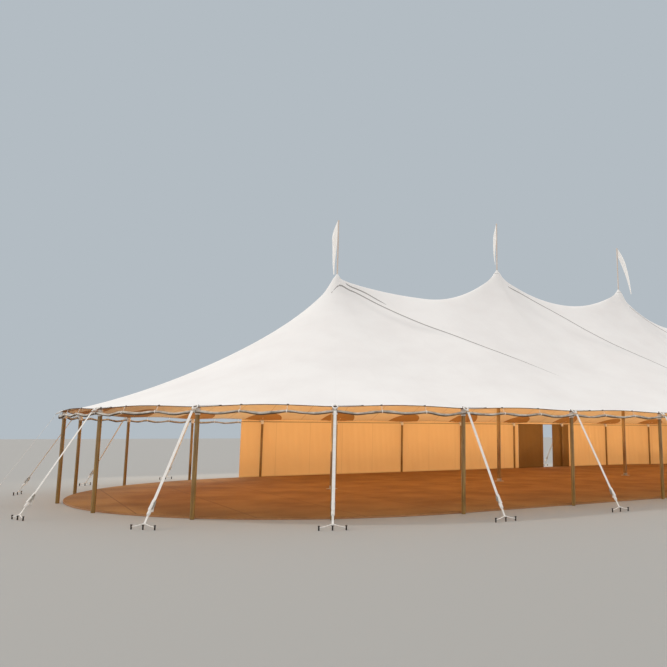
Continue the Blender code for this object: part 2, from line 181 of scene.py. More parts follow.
@dataclass(frozen=True)
class WovenCloth:
    """Woven cloth on its own UV map: U counts sewn panels and V is metres up from the hem.

    Real threads lie about 0.5 mm apart, too fine to show, so the weave is drawn at weave_mm.
    A share of the light goes through. On the inner faces the warm colour is painted light, and the seam colour
    is partly real seam and partly painted shade; the studio's lamps add to the glow under the roof.
    """

    name: str
    colour: str
    shade: str
    seam: str
    glow: str
    through: float = 0.3
    roughness: float = 0.78
    seam_strength: float = 0.5
    seam_half: float = 0.008
    hem_depth: float = 0.07
    hem_edge: float = 0.006
    patch_metres: float = 1.6
    patch_stops: Pair = (0.3, 0.62)
    weave_mm: float = 9.0
    weave_bump: float = 0.12
    weave_rise: float = 0.002
    top_hem: float = 0.0
    top_hem_depth: float = 0.05
    top_hem_edge: float = 0.005
    painted_underside_band: Pair = (0.0, 0.0)

    def material(self) -> Material:
        """Builds the material.

        Returns:
            The node material.
        """
        material, tree, out = blank_material(self.name)
        place = add(tree, "TexCoord")
        parts = add(tree, "SeparateXYZ", None, {0: place.outputs["UV"]})
        u, v = parts.outputs["X"], parts.outputs["Y"]
        cloud = add(tree, "TexNoise", None, {"Vector": place.outputs["Object"], "Scale": 1 / self.patch_metres,
                                             "Detail": 4.0, "Roughness": 0.6})
        tone = two_tone(tree, cloud.outputs["Fac"], linear(self.shade), linear(self.colour), self.patch_stops)
        # Seams and hem take the seam colour: real seams outside, and on the inner faces mostly painted shade
        # of the double layer
        seams = line_mask(tree, u, self.seam_half)
        seam_share = add(tree, "Math", {"operation": "MULTIPLY"}, {0: seams, 1: self.seam_strength})
        tone = tinted(tree, seam_share.outputs[0], tone, linear(self.seam))
        hem = add(tree, "MapRange", None, {"Value": v, "From Min": self.hem_depth,
                                           "From Max": self.hem_depth + self.hem_edge,
                                           "To Min": self.seam_strength, "To Max": 0.0})
        tone = tinted(tree, hem.outputs[0], tone, linear(self.seam))
        if self.top_hem:
            low = self.top_hem - self.top_hem_depth
            high = low + self.top_hem_edge
            top = add(tree, "MapRange", None, {"Value": v, "From Min": low, "From Max": high, "To Min": 0.0,
                                               "To Max": 1.0})
            tone = tinted(tree, top.outputs[0], tone, linear(self.seam))
        # A band in the seam colour over a span of V: painted shade, which on the rolled wall lies under its
        # outer turn
        if self.painted_underside_band[1]:
            middle, half = sum(self.painted_underside_band) / 2, (self.painted_underside_band[1] - self.painted_underside_band[0]) / 2
            away = add(tree, "Math", {"operation": "SUBTRACT"}, {0: v, 1: middle})
            size = add(tree, "Math", {"operation": "ABSOLUTE"}, {0: away.outputs[0]})
            fade = {"Value": size.outputs[0], "From Min": half * 0.7, "From Max": half * 1.1, "To Min": 1.0,
                    "To Max": 0.0}
            under = add(tree, "MapRange", {"interpolation_type": "SMOOTHSTEP"}, fade)
            tone = tinted(tree, under.outputs[0], tone, linear(self.seam))
        pitch = 1000 / self.weave_mm
        threads = []
        for direction, scale in (("X", pitch / 2), ("Y", pitch / 3)):
            bands = {"wave_type": "BANDS", "bands_direction": direction, "wave_profile": "SIN"}
            threads.append(add(tree, "TexWave", bands, {"Vector": place.outputs["UV"], "Scale": scale,
                                                        "Distortion": 0.4}))
        warp, weft = threads
        weave = add(tree, "Math", {"operation": "ADD"}, {0: warp.outputs["Fac"], 1: weft.outputs["Fac"]})
        raised = add(tree, "Math", {"operation": "ADD"}, {0: weave.outputs[0], 1: seams})
        bump = add(tree, "Bump", None, {"Height": raised.outputs[0], "Strength": self.weave_bump,
                                        "Distance": self.weave_rise})
        shader = add(tree, "BsdfPrincipled", None, {"Base Color": tone, "Roughness": self.roughness,
                                                    "Normal": bump.outputs["Normal"]})
        through = add(tree, "BsdfTranslucent", None, {"Color": linear(self.glow)})
        mix = add(tree, "MixShader", None, {"Fac": self.through, 1: shader.outputs[0], 2: through.outputs[0]})
        tree.links.new(mix.outputs[0], out.inputs["Surface"])
        return material


@dataclass(frozen=True)
class Timber:
    """Turned softwood under clear varnish. Growth rings 3 mm apart show as long streaks up the pole."""

    name: str
    light: str
    dark: str
    roughness: float = 0.38
    coat: float = 0.25
    along: tuple[float, float, float] = (60.0, 60.0, 1.6)

    def material(self) -> Material:
        """Builds the material.

        Returns:
            The node material.
        """
        material, tree, out = blank_material(self.name)
        place = add(tree, "TexCoord")
        stretched = add(tree, "Mapping", None, {"Vector": place.outputs["Object"], "Scale": self.along})
        grain = add(tree, "TexNoise", None, {"Vector": stretched.outputs[0], "Scale": 1.0, "Detail": 6.0,
                                             "Roughness": 0.65, "Distortion": 0.6})
        tone = two_tone(tree, grain.outputs["Fac"], linear(self.dark), linear(self.light), (0.35, 0.62))
        stains = add(tree, "TexNoise", None, {"Vector": place.outputs["Object"], "Scale": 2.3, "Detail": 3.0})
        patch = add(tree, "MapRange", None, {"Value": stains.outputs["Fac"], "From Min": 0.5, "From Max": 0.75,
                                             "To Min": 0.0, "To Max": 0.5})
        tone = tinted(tree, patch.outputs[0], tone, linear(self.dark))
        bump = add(tree, "Bump", None, {"Height": grain.outputs["Fac"], "Strength": 0.15, "Distance": 0.001})
        gloss = add(tree, "MapRange", None, {"Value": grain.outputs["Fac"], "To Min": self.roughness + 0.1,
                                             "To Max": self.roughness - 0.06})
        shader = add(tree, "BsdfPrincipled", None, {"Base Color": tone, "Roughness": gloss.outputs[0],
                                                    "Coat Weight": self.coat, "Coat Roughness": 0.2,
                                                    "Normal": bump.outputs["Normal"]})
        tree.links.new(shader.outputs[0], out.inputs["Surface"])
        return material


@dataclass(frozen=True)
class Speckled:
    """A plain material with a fine grain: webbing, moulded plastic, painted or bare steel.

    The grain is drawn at grain_mm, which is its real size or as fine as the picture can show.
    """

    name: str
    colour: str
    shade: str
    roughness: float
    metallic: float = 0.0
    grain_mm: float = 4.0
    bump: float = 0.2
    spread: Pair = (0.35, 0.65)

    def material(self) -> Material:
        """Builds the material.

        Returns:
            The node material.
        """
        material, tree, out = blank_material(self.name)
        place = add(tree, "TexCoord")
        scale = 1000 / self.grain_mm / 4
        fine = add(tree, "TexNoise", None, {"Vector": place.outputs["Object"], "Scale": scale, "Detail": 3.0,
                                            "Roughness": 0.7})
        broad = add(tree, "TexNoise", None, {"Vector": place.outputs["Object"], "Scale": 14.0, "Detail": 3.0})
        both = add(tree, "Math", {"operation": "MULTIPLY_ADD"}, {0: broad.outputs["Fac"], 1: 0.6, 2: 0.2})
        mixed = add(tree, "Math", {"operation": "MULTIPLY_ADD"}, {0: fine.outputs["Fac"], 1: 0.4,
                                                                  2: both.outputs[0]})
        centred = add(tree, "Math", {"operation": "SUBTRACT"}, {0: mixed.outputs[0], 1: 0.2})
        tone = two_tone(tree, centred.outputs[0], linear(self.shade), linear(self.colour), self.spread)
        bump = add(tree, "Bump", None, {"Height": fine.outputs["Fac"], "Strength": self.bump,
                                        "Distance": 0.001})
        rough = add(tree, "MapRange", None, {"Value": fine.outputs["Fac"], "To Min": self.roughness - 0.08,
                                             "To Max": self.roughness + 0.08})
        shader = add(tree, "BsdfPrincipled", None, {"Base Color": tone, "Roughness": rough.outputs[0],
                                                    "Metallic": self.metallic,
                                                    "Normal": bump.outputs["Normal"]})
        tree.links.new(shader.outputs[0], out.inputs["Surface"])
        return material


@dataclass(frozen=True)
class CoirMatting:
    """Coir matting from 2 m wide rolls laid across the tent.

    Its ribs, 8 mm apart, are drawn at 30 mm to show.
    """

    name: str = "coir_matting"
    colour: str = "#A0743B"
    shade: str = "#875C28"
    joint: str = "#734D20"
    roll_width: float = 2.0
    rib_mm: float = 30.0

    def material(self) -> Material:
        """Builds the material.

        Returns:
            The node material.
        """
        material, tree, out = blank_material(self.name)
        place = add(tree, "TexCoord")
        parts = add(tree, "SeparateXYZ", None, {0: place.outputs["Object"]})
        rolls = add(tree, "Math", {"operation": "DIVIDE"}, {0: parts.outputs["X"], 1: self.roll_width})
        joints = line_mask(tree, rolls.outputs[0], 0.006)
        fibres = add(tree, "TexNoise", None, {"Vector": place.outputs["Object"], "Scale": 60.0, "Detail": 4.0,
                                              "Roughness": 0.75})
        worn = add(tree, "TexNoise", None, {"Vector": place.outputs["Object"], "Scale": 0.7, "Detail": 3.0})
        blend = add(tree, "Math", {"operation": "MULTIPLY_ADD"}, {0: fibres.outputs["Fac"], 1: 0.5, 2: -0.25})
        both = add(tree, "Math", {"operation": "ADD"}, {0: worn.outputs["Fac"], 1: blend.outputs[0]})
        tone = two_tone(tree, both.outputs[0], linear(self.shade), linear(self.colour), (0.35, 0.65))
        tone = tinted(tree, joints, tone, linear(self.joint))
        ribs = add(tree, "TexWave", {"wave_type": "BANDS", "bands_direction": "Y"},
                   {"Vector": place.outputs["Object"], "Scale": 1000 / self.rib_mm / 3.2, "Distortion": 1.0,
                    "Detail": 2.0})
        height = add(tree, "Math", {"operation": "MULTIPLY_ADD"}, {0: fibres.outputs["Fac"], 1: 0.7,
                                                                    2: ribs.outputs["Fac"]})
        bump = add(tree, "Bump", None, {"Height": height.outputs[0], "Strength": 0.5, "Distance": 0.004})
        shader = add(tree, "BsdfPrincipled", None, {"Base Color": tone, "Roughness": 0.95,
                                                    "Normal": bump.outputs["Normal"]})
        tree.links.new(shader.outputs[0], out.inputs["Surface"])
        return material


class Finish(Enum):
    """Every finish on the tent."""

    # Heavy cotton-polyester sailcloth, matt white, with faint lapped seams
    SAILCLOTH = WovenCloth("white_sailcloth", "#F8F6F3", "#F2EFEC", "#E4E0DC", "#FBF4EA", through=0.03,
                           seam_strength=0.12)
    # The same white cloth seen from inside. Its warm colour is painted light for the light that comes through,
    # and its dark seams and hem are partly real seams and partly painted shade of the double layers
    LINING = WovenCloth("sailcloth_inside_painted_light", "#F6E0BC", "#EFD5AE", "#CFA770", "#F6DDB8", through=0.1,
                        seam_strength=0.8, hem_depth=0.05)
    # A second layer of the same cloth sewn on where the poles bear, which lets less light through. Its amber
    # brown is painted shade for the light that the double layer holds back
    PATCH = WovenCloth("bearing_patch", "#BC8A4C", "#AE7E42", "#9A6C34", "#C98040", through=0.05)
    # Sailcloth of the raised folds, greyed as painted shade for the fold's face turned from the light
    FOLD = WovenCloth("fold_painted_shade", "#A8A4A0", "#9C9894", "#B0AAA4", "#C9C4BF", through=0.02,
                      seam_strength=0.0, weave_bump=0.0)
    # Thinner wall cloth, cream on both sides. The amber of its inner side is painted light for the light
    # through the wall, and its darker seams and top hem are partly real seams and partly painted shade of the
    # double layers
    WALL_OUTSIDE = WovenCloth("wall_cloth_outside", "#F2EADD", "#E9DFCF", "#D8CCB9", "#F8E2BE", through=0.6)
    WALL_INSIDE = WovenCloth("wall_cloth_inside", "#F0C48E", "#E9BA82", "#BF8D58", "#F8D6A4", through=0.6,
                             seam_strength=0.7, top_hem=2.27)
    # Cloth of the door panels, which is wall cloth; its dark brown is painted shadow over the doorway
    DOOR = WovenCloth("door_cloth_painted_shadow", "#A07C48", "#8C693A", "#6A4C26", "#B89654", through=0.25,
                      seam_strength=0.9)
    # Wall cloth that has been rolled up, greyed and creased; the dark brown band along the underside of its
    # outer turn is painted shade
    ROLLED = WovenCloth("rolled_wall_cloth", "#DED7CC", "#94897A", "#5A4632", "#C9A878", through=0.04,
                        patch_metres=0.22, seam_strength=0.0, weave_bump=0.25, painted_underside_band=(1.98, 2.06))
    # Light nylon flag cloth
    FLAG = WovenCloth("white_flag_cloth", "#FDFCFA", "#F8F6F3", "#EFECE8", "#FFFDFA", through=0.5,
                      roughness=0.6, hem_depth=0.012, weave_bump=0.0)
    TIMBER = Timber("varnished_timber", "#AE8A4C", "#735222")
    MAST = Timber("mast_timber", "#E4D8CD", "#CDBBAE", roughness=0.5, coat=0.1)
    # Polyester webbing, woven flat, slightly creamy
    WEBBING = Speckled("polyester_webbing", "#FBF8F3", "#EFEAE2", 0.8, grain_mm=6.0, bump=0.3)
    # Hot-dip galvanised steel of the ratchets and rings
    GALVANISED = Speckled("galvanised_steel", "#C6C2BA", "#9A958C", 0.5, metallic=0.5, grain_mm=8.0, bump=0.05)
    # Forged stakes with mill scale and a little rust
    STAKE_STEEL = Speckled("forged_stake_steel", "#4A433C", "#2B2521", 0.6, metallic=0.7, grain_mm=5.0)
    # Glass-filled nylon toggles and caps, moulded with a fine spark finish
    BLACK_NYLON = Speckled("black_nylon", "#1C1A19", "#121110", 0.5, grain_mm=3.0, bump=0.1)
    # Brown cotton rope in the hem
    HEM_ROPE = Speckled("brown_hem_rope", "#6B4A30", "#4A3220", 0.85, grain_mm=8.0, bump=0.6)
    # Birch plywood sheets of the deck, sanded, edges unsealed
    PLYWOOD = Timber("birch_plywood", "#C08A58", "#94623A", roughness=0.6, coat=0.0, along=(2.0, 30.0, 90.0))
    MATTING = CoirMatting()


class Palette:
    """Makes each finish's material once and hands it out."""

    def __init__(self) -> None:
        """Starts with no material made."""
        self._made: dict[Finish, Material] = {}

    def __getitem__(self, finish: Finish) -> Material:
        """Returns the finish's material, made on its first use."""
        if finish not in self._made:
            self._made[finish] = finish.value.material()
        return self._made[finish]


PALETTE = Palette()


# Pieces


def deselect() -> None:
    """Leaves edit mode with nothing selected, so that an operator acts only on what is picked next."""
    if bpy.context.mode != "OBJECT":
        bpy.ops.object.mode_set(mode="OBJECT")
    bpy.ops.object.select_all(action="DESELECT")


def make_active(obj: Object) -> None:
    """Selects one object alone and makes it the active one."""
    deselect()
    obj.select_set(True)
    bpy.context.view_layer.objects.active = obj


def apply_modifier(obj: Object, kind: str, **settings: object) -> None:
    """Adds a modifier and applies it at once.

    Args:
        obj: The object to change.
        kind: The modifier's type.
        settings: Values of its properties.
    """
    make_active(obj)
    modifier = obj.modifiers.new(kind.lower(), kind)
    for name, value in settings.items():
        setattr(modifier, name, value)
    bpy.ops.object.modifier_apply(modifier=modifier.name)


def shade(obj: Object, degrees: float) -> None:
    """Shades an object smooth, apart from edges sharper than an angle."""
    make_active(obj)
    bpy.ops.object.shade_smooth_by_angle(angle=math.radians(degrees))


def put_on(obj: Object, nodes: Iterable[str] = ()) -> Object:
    """Makes a finished object part of the tent.

    Args:
        obj: The piece, already in place.
        nodes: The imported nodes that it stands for.

    Returns:
        The same object.
    """
    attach(obj, BODY)
    nodes = list(nodes)
    if nodes:
        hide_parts(*nodes)
    return obj


def mesh_object(
    name: str, points: Sequence[Point], faces: Sequence[Sequence[int]], finishes: Sequence[Finish]
) -> Object:
    """Makes an object from points and faces.

    Args:
        name: The object's name.
        points: The corners.
        faces: The corner numbers of each face.
        finishes: Its materials, in slot order.

    Returns:
        The new object, linked to the scene.
    """
    mesh = bpy.data.meshes.new(name)
    mesh.from_pydata([tuple(p) for p in points], [], [tuple(f) for f in faces])
    for finish in finishes:
        mesh.materials.append(PALETTE[finish])
    obj = bpy.data.objects.new(name, mesh)
    bpy.context.scene.collection.objects.link(obj)
    return obj


def cloth_grid(
    name: str, points: np.ndarray, uv: np.ndarray, finishes: Sequence[Finish], up: Vector | None = None
) -> Object:
    """Makes a single layer of cloth over a grid of points, with its UV map.

    Args:
        name: The object's name.
        points: The grid, rows by columns by 3.
        uv: The grid's map, rows by columns by 2.
        finishes: Its materials, in slot order.
        up: A direction that the faces should point to, on the whole.

    Returns:
        The new object.
    """
    rows, columns = points.shape[:2]
    faces = []
    for i in range(rows - 1):
        for j in range(columns - 1):
            first = i * columns + j
            faces.append((first, first + 1, first + columns + 1, first + columns))
    obj = mesh_object(name, points.reshape(-1, 3), faces, finishes)
    if up is not None and sum((p.normal * p.area for p in obj.data.polygons), Vector()).dot(up) < 0:
        obj.data.flip_normals()
    layer = obj.data.uv_layers.new(name="cloth")
    corners = np.empty(len(obj.data.loops), np.int32)
    obj.data.loops.foreach_get("vertex_index", corners)
    layer.data.foreach_set("uv", uv.reshape(-1, 2)[corners].astype(np.float32).ravel())
    return obj


def thicken(obj: Object, thickness: float, offset: float = 1.0) -> Object:
    """Gives a layer of cloth two sides. The inner side takes the next material.

    Args:
        obj: The single layer.
        thickness: The cloth's thickness.
        offset: 1 to keep the layer as the inner side, -1 as the outer.

    Returns:
        The same object.
    """
    inner = 1 if len(obj.data.materials) > 1 else 0
    apply_modifier(obj, "SOLIDIFY", thickness=thickness, offset=offset, material_offset=inner)
    shade(obj, 50)
    return obj


def tube(name: str, path: Sequence[Point], radius: float, sides: int, finish: Finish) -> Object:
    """Sweeps a round section along a path.

    Args:
        name: The object's name.
        path: The points of the centreline.
        radius: The section's radius.
        sides: The points round the section.
        finish: Its material.

    Returns:
        The new object, with its ends closed.
    """
    line = [Vector(p) for p in path]
    points, faces = [], []
    for i, here in enumerate(line):
        along = (line[min(i + 1, len(line) - 1)] - line[max(i - 1, 0)]).normalized()
        side = along.cross(Vector((0.0, 0.0, 1.0)))
        side = side.normalized() if side.length > 1e-4 else Vector((1.0, 0.0, 0.0))
        up = side.cross(along)
        for k in range(sides):
            angle = 2 * math.pi * k / sides
            points.append(here + radius * (math.cos(angle) * side + math.sin(angle) * up))
    for i in range(len(line) - 1):
        for k in range(sides):
            a, b = i * sides + k, i * sides + (k + 1) % sides
            faces.append((a, b, b + sides, a + sides))
    faces += [tuple(reversed(range(sides))), tuple(range(len(points) - sides, len(points)))]
    obj = mesh_object(name, points, faces, [finish])
    face_out(obj)
    shade(obj, 60)
    return obj


def face_out(obj: Object) -> None:
    """Turns every face of a closed object outwards."""
    make_active(obj)
    bpy.ops.object.mode_set(mode="EDIT")
    bpy.ops.mesh.select_all(action="SELECT")
    bpy.ops.mesh.normals_make_consistent(inside=False)
    bpy.ops.object.mode_set(mode="OBJECT")


def join(name: str, parts: Sequence[Object]) -> Object:
    """Joins several objects into the first.

    Args:
        name: The joined object's name.
        parts: The objects, which are used up.

    Returns:
        The joined object.
    """
    make_active(parts[0])
    for part in parts:
        part.select_set(True)
    bpy.ops.object.join()
    parts[0].name = parts[0].data.name = name
    return parts[0]


def copy_to(source: Object, name: str, place: Matrix) -> Object:
    """Copies a finished object with a mesh of its own.

    Args:
        source: The object to copy.
        name: The copy's name.
        place: Where the copy's mesh is moved to.

    Returns:
        The copy, whose object stays at the origin.
    """
    copy = source.copy()
    copy.data = source.data.copy()
    copy.name = copy.data.name = name
    copy.data.transform(place)
    bpy.context.scene.collection.objects.link(copy)
    return copy


class Shape:
    """A piece that is modelled by hand steps: a primitive, then edit-mode operators on what is picked."""

    def __init__(self, name: str, finish: Finish) -> None:
        """Takes over the active object, which a primitive has just added.

        Args:
            name: The piece's name.
            finish: Its material.
        """
        self.obj = bpy.context.view_layer.objects.active
        self.obj.name = self.obj.data.name = name
        self.obj.data.materials.append(PALETTE[finish])
        bpy.ops.object.transform_apply(location=True, rotation=True, scale=True)

    @classmethod
    def rod(cls, name: str, finish: Finish, start: Point, end: Point, radius: float, sides: int) -> "Shape":
        """Adds a cylinder between two points.

        Args:
            name: The piece's name.
            finish: Its material.
            start: The middle of one end.
            end: The middle of the other end.
            radius: Its radius.
            sides: The faces round it.

        Returns:
            The shape.
        """
        deselect()
        axis = Vector(end) - Vector(start)
        turn = axis.to_track_quat("Z", "Y").to_euler()
        middle = (Vector(start) + Vector(end)) / 2
        bpy.ops.mesh.primitive_cylinder_add(vertices=sides, radius=radius, depth=axis.length, location=middle,
                                            rotation=turn)
        return cls(name, finish)

    @classmethod
    def bar(cls, name: str, finish: Finish, start: Point, end: Point, width: float, height: float) -> "Shape":
        """Adds a bar between two points, with its width along Y.

        Args:
            name: The piece's name.
            finish: Its material.
            start: The middle of one end.
            end: The middle of the other end.
            width: Its width, level.
            height: Its thickness.

        Returns:
            The shape.
        """
        deselect()
        axis = Vector(end) - Vector(start)
        pitch = -math.atan2(axis.z, axis.x)
        middle = (Vector(start) + Vector(end)) / 2
        size = (axis.length, width, height)
        bpy.ops.mesh.primitive_cube_add(size=1.0, location=middle, rotation=(0.0, pitch, 0.0), scale=size)
        return cls(name, finish)

    @classmethod
    def ring(
        cls, name: str, finish: Finish, middle: Point, radius: float, thickness: float, turn: Point
    ) -> "Shape":
        """Adds a torus.

        Args:
            name: The piece's name.
            finish: Its material.
            middle: Its middle.
            radius: The radius of its centreline.
            thickness: The radius of its bar.
            turn: Its rotation, in radians.

        Returns:
            The shape.
        """
        deselect()
        bpy.ops.mesh.primitive_torus_add(location=middle, rotation=turn, major_radius=radius,
                                         minor_radius=thickness, major_segments=20, minor_segments=8)
        return cls(name, finish)

    def pick(self, mode: str, test: Callable[[Vector], bool]) -> "Shape":
        """Opens edit mode with those parts selected whose middle passes a test.

        Args:
            mode: VERT, EDGE or FACE.
            test: Takes a part's middle and says whether it is picked.

        Returns:
            The same shape.
        """
        make_active(self.obj)
        bpy.ops.object.mode_set(mode="EDIT")
        bpy.ops.mesh.select_mode(type=mode)
        bpy.ops.mesh.select_all(action="DESELECT")
        data = bmesh.from_edit_mesh(self.obj.data)
        parts = {"VERT": data.verts, "EDGE": data.edges, "FACE": data.faces}[mode]
        for part in parts:
            middle = part.co if mode == "VERT" else sum((v.co for v in part.verts), Vector()) / len(part.verts)
            part.select_set(test(middle))
        data.select_flush_mode()
        bmesh.update_edit_mesh(self.obj.data)
        return self

    def bevel(self, width: float, segments: int = 2) -> "Shape":
        """Rounds the picked edges."""
        bpy.ops.mesh.bevel(offset=width, segments=segments, affect="EDGES")
        return self

    def extrude(self, move: Point, size: Point = (1.0, 1.0, 1.0)) -> "Shape":
        """Extrudes the picked faces, moves them and resizes them."""
        bpy.ops.mesh.extrude_region_move(TRANSFORM_OT_translate={"value": move})
        bpy.ops.transform.resize(value=size)
        return self

    def inset(self, width: float, depth: float = 0.0) -> "Shape":
        """Insets the picked faces."""
        bpy.ops.mesh.inset(thickness=width, depth=depth)
        return self

    def resize(self, size: Point) -> "Shape":
        """Resizes what is picked about its middle."""
        bpy.ops.transform.resize(value=size)
        return self

    def slice_along(self, start: Point, end: Point, cuts: int) -> "Shape":
        """Cuts the piece across, in equal steps between two points.

        Args:
            start: One end of the line.
            end: The other end.
            cuts: How many cuts.

        Returns:
            The same shape, all selected.
        """
        make_active(self.obj)
        bpy.ops.object.mode_set(mode="EDIT")
        first, last = Vector(start), Vector(end)
        for i in range(1, cuts + 1):
            bpy.ops.mesh.select_all(action="SELECT")
            bpy.ops.mesh.bisect(plane_co=first.lerp(last, i / (cuts + 1)), plane_no=last - first)
        bpy.ops.mesh.select_all(action="SELECT")
        return self

    def done(self, degrees: float = 35.0) -> Object:
        """Leaves edit mode and shades the piece.

        Args:
            degrees: The angle over which an edge stays sharp.

        Returns:
            The finished object.
        """
        make_active(self.obj)
        bpy.ops.object.mode_set(mode="OBJECT")
        shade(self.obj, degrees)
        return self.obj


# The tent's form


@dataclass(frozen=True)
class TentForm:
    """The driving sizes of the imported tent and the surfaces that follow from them."""

    half_span: float = 7.5
    peak_spacing: float = 6.54
    centre_poles: int = 4
    end_bays: int = 8
    eave_height: float = 2.33
    outer_peak: float = 6.82
    inner_peak: float = 7.82
    outer_saddle: float = 6.48
    inner_saddle: float = 6.915
    ridge_power: float = 2.06
    straight_share: float = 0.47
    cusp_share: float = 0.11
    cusp_power: float = 8.9
    mid_straight_share: float = 0.78
    mid_rounding: float = 0.4
    eave_band: float = 0.07
    overhang: float = 0.08
    scallop: float = 0.05
    eave_rise: float = 0.035
    eave_rise_power: float = 6.0
    peak_hole: float = 0.1
    pull_down: float = 0.008
    pull_reach: float = 0.5
    ripple: float = 0.007
    ripple_rays: int = 11
    ripple_start: float = 0.12
    ripple_reach: float = 0.55
    share_metres: float = 3.0
    cloth: float = 0.004
    seam_gap: float = 0.0004
    crease_round: float = 0.6
    crease_reach: float = 2.5
    cone_bow: float = 0.2
    cone_rings: tuple[float, ...] = (0.125, 0.16, 0.2, 0.25, 0.31, 0.38, 0.45)
    head_crowding: float = 0.08

    @property
    def cone_top(self) -> float:
        """Radius at which the cone under a masthead starts."""
        return self.cone_rings[0]

    @property
    def cone_foot(self) -> float:
        """Radius at which the cone runs out into the slope."""
        return self.cone_rings[-1]

    @property
    def half_ridge(self) -> float:
        """Half of the distance between the first and the last centre pole."""
        return self.peak_spacing * (self.centre_poles - 1) / 2

    @property
    def side_spacing(self) -> float:
        """Distance between side poles along the straight sides."""
        return self.peak_spacing / 2

    @property
    def end_step(self) -> float:
        """Angle between side poles round an end."""
        return math.pi / self.end_bays

    @property
    def centre_x(self) -> list[float]:
        """Places of the centre poles along X."""
        return [self.peak_spacing * i - self.half_ridge for i in range(self.centre_poles)]

    def pole_places(self) -> dict[str, tuple[float, float, float]]:
        """Finds every side pole.

        Returns:
            The place and the heading of the guy for each side pole's node.
        """
        places = {}
        for i in range(2 * self.centre_poles - 1):
            x = self.side_spacing * i - self.half_ridge
            places[f"side_pole_front_{i + 1}"] = (x, -self.half_span, -math.pi / 2)
            places[f"side_pole_back_{i + 1}"] = (x, self.half_span, math.pi / 2)
        for i in range(1, self.end_bays):
            turn = math.pi / 2 - i * self.end_step
            reach = self.half_ridge + self.half_span * math.cos(turn)
            y = -self.half_span * math.sin(turn)
            places[f"side_pole_left_{i}"] = (-reach, y, math.pi + turn)
            places[f"side_pole_right_{i}"] = (reach, y, -turn)
        return places

    def peak_height(self, x: float) -> float:
        """Height of the head of the centre pole nearest to x."""
        nearest = min(self.centre_x, key=lambda pole: abs(pole - x))
        return self.outer_peak if nearest in (self.centre_x[0], self.centre_x[-1]) else self.inner_peak

    def between(self, x: float) -> float:
        """0 on a line of centre poles, 1 midway between two, and 0 beyond the last."""
        if abs(x) >= self.half_ridge:
            return 0.0
        return min(abs(pole - x) for pole in self.centre_x) / (self.peak_spacing / 2)

    def ridge_height(self, x: float, from_ridge: float) -> float:
        """Height that the slope at x climbs to. Away from the ridge the cloth is rounder over a line of poles.

        Args:
            x: Place along the ridge.
            from_ridge: Distance from it.

        Returns:
            The height.
        """
        saddle = self.inner_saddle if abs(x) < self.half_ridge - self.peak_spacing else self.outer_saddle
        half_bay, soft = self.peak_spacing / 2, self.crease_round * min(from_ridge / self.crease_reach, 1.0)
        away = (math.hypot(self.between(x) * half_bay, soft) - soft) / (math.hypot(half_bay, soft) - soft)
        return saddle + (self.peak_height(x) - saddle) * (1 - away) ** self.ridge_power

    def bay_share(self, x: float, y: float) -> float:
        """Share of the way from one side pole to the next, at the eave outside a point."""
        if abs(x) <= self.half_ridge:
            return (x + self.half_ridge) / self.side_spacing % 1
        return (math.atan2(y, abs(x) - self.half_ridge) + math.pi / 2) / self.end_step % 1

    def height(self, x: float, y: float) -> float:
        """Underside of the roof over a point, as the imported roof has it.

        Args:
            x: Place along the ridge.
            y: Place across it.

        Returns:
            The height.
        """
        beyond = max(abs(x) - self.half_ridge, 0.0)
        from_ridge = math.hypot(beyond, y)
        pole = min(self.centre_x, key=lambda place: abs(place - x))
        from_pole = math.hypot(x - pole, y)
        if from_pole <= self.cone_top:
            return self.peak_height(x)
        if from_pole < self.cone_foot:
            grow = self.cone_foot / from_pole
            foot = self.height(pole + (x - pole) * grow * 1.0001, y * grow * 1.0001)
            u = (self.cone_foot - from_pole) / (self.cone_foot - self.cone_top)
            return foot + (self.peak_height(x) - foot) * ((1 - self.cone_bow) * u + self.cone_bow * u * u)
        middle = self.between(x)
        blend = middle**2 * (3 - 2 * middle)
        rounding = self.mid_rounding * blend
        run = self.half_span - self.eave_band
        down = (math.hypot(from_ridge, rounding) - rounding) / (math.hypot(run, rounding) - rounding)
        t = max(1 - down, 0.0)
        straight = self.straight_share + (self.mid_straight_share - self.straight_share) * blend
        cusp = self.cusp_share * (1 - blend)
        share = straight * t + (1 - straight - cusp) * t**2 + cusp * t**self.cusp_power
        rise = self.eave_rise * math.sin(math.pi * self.bay_share(x, y)) ** 2 * (1 - t) ** self.eave_rise_power
        return self.eave_height + (self.ridge_height(x, abs(y)) - self.eave_height) * share + rise

    def cloth_height(self, x: float, y: float) -> float:
        """Underside of the cloth: the roof's form, drawn down at its edge and puckered round each side pole.

        Args:
            x: Place along the ridge.
            y: Place across it.

        Returns:
            The height.
        """
        from_ridge = math.hypot(max(abs(x) - self.half_ridge, 0.0), y)
        share = self.bay_share(x, y)
        to_pole = min(share, 1 - share) * self.share_metres
        inward = self.half_span - from_ridge
        away = math.hypot(to_pole, inward)
        bearing = math.atan2(inward, to_pole)
        pucker = self.ripple * math.sin(self.ripple_rays * bearing) * away / (away + self.ripple_start)
        pucker *= math.exp(-away / self.ripple_reach)
        past = max(-inward / self.overhang, 0.0)
        drawn = self.pull_down * past**1.5 * math.exp(-((to_pole / self.pull_reach) ** 2))
        return self.height(x, y) + (pucker if inward > 0 else 0.0) - drawn + self.seam_gap

    def eave_edge(self, share: float) -> float:
        """Distance of the roof's edge from the ridge line, at a share of the way between side poles."""
        return self.half_span + self.overhang - self.scallop * math.sin(math.pi * share) ** 2

    def slope_stations(self, edge: float, steps: int) -> list[float]:
        """Distances from the ridge line of a section's rows, closer together near the head and the eave.

        Args:
            edge: Where the roof ends.
            steps: How many rows lie between the head and the eave band.

        Returns:
            The distances, head first.
        """
        run = self.half_span - self.eave_band
        inner = [self.peak_hole, *self.cone_rings]
        first = self.head_crowding
        shares = [0.5 - 0.5 * math.cos(math.pi * (first + (1 - first) * i / steps)) for i in range(steps)]
        scale = [(s - shares[0]) / (1 - shares[0]) for s in shares]
        slope = [self.cone_foot + (run - self.cone_foot) * s for s in scale[1:]]
        return inner + slope + [run, self.half_span, (self.half_span + edge) / 2, edge]

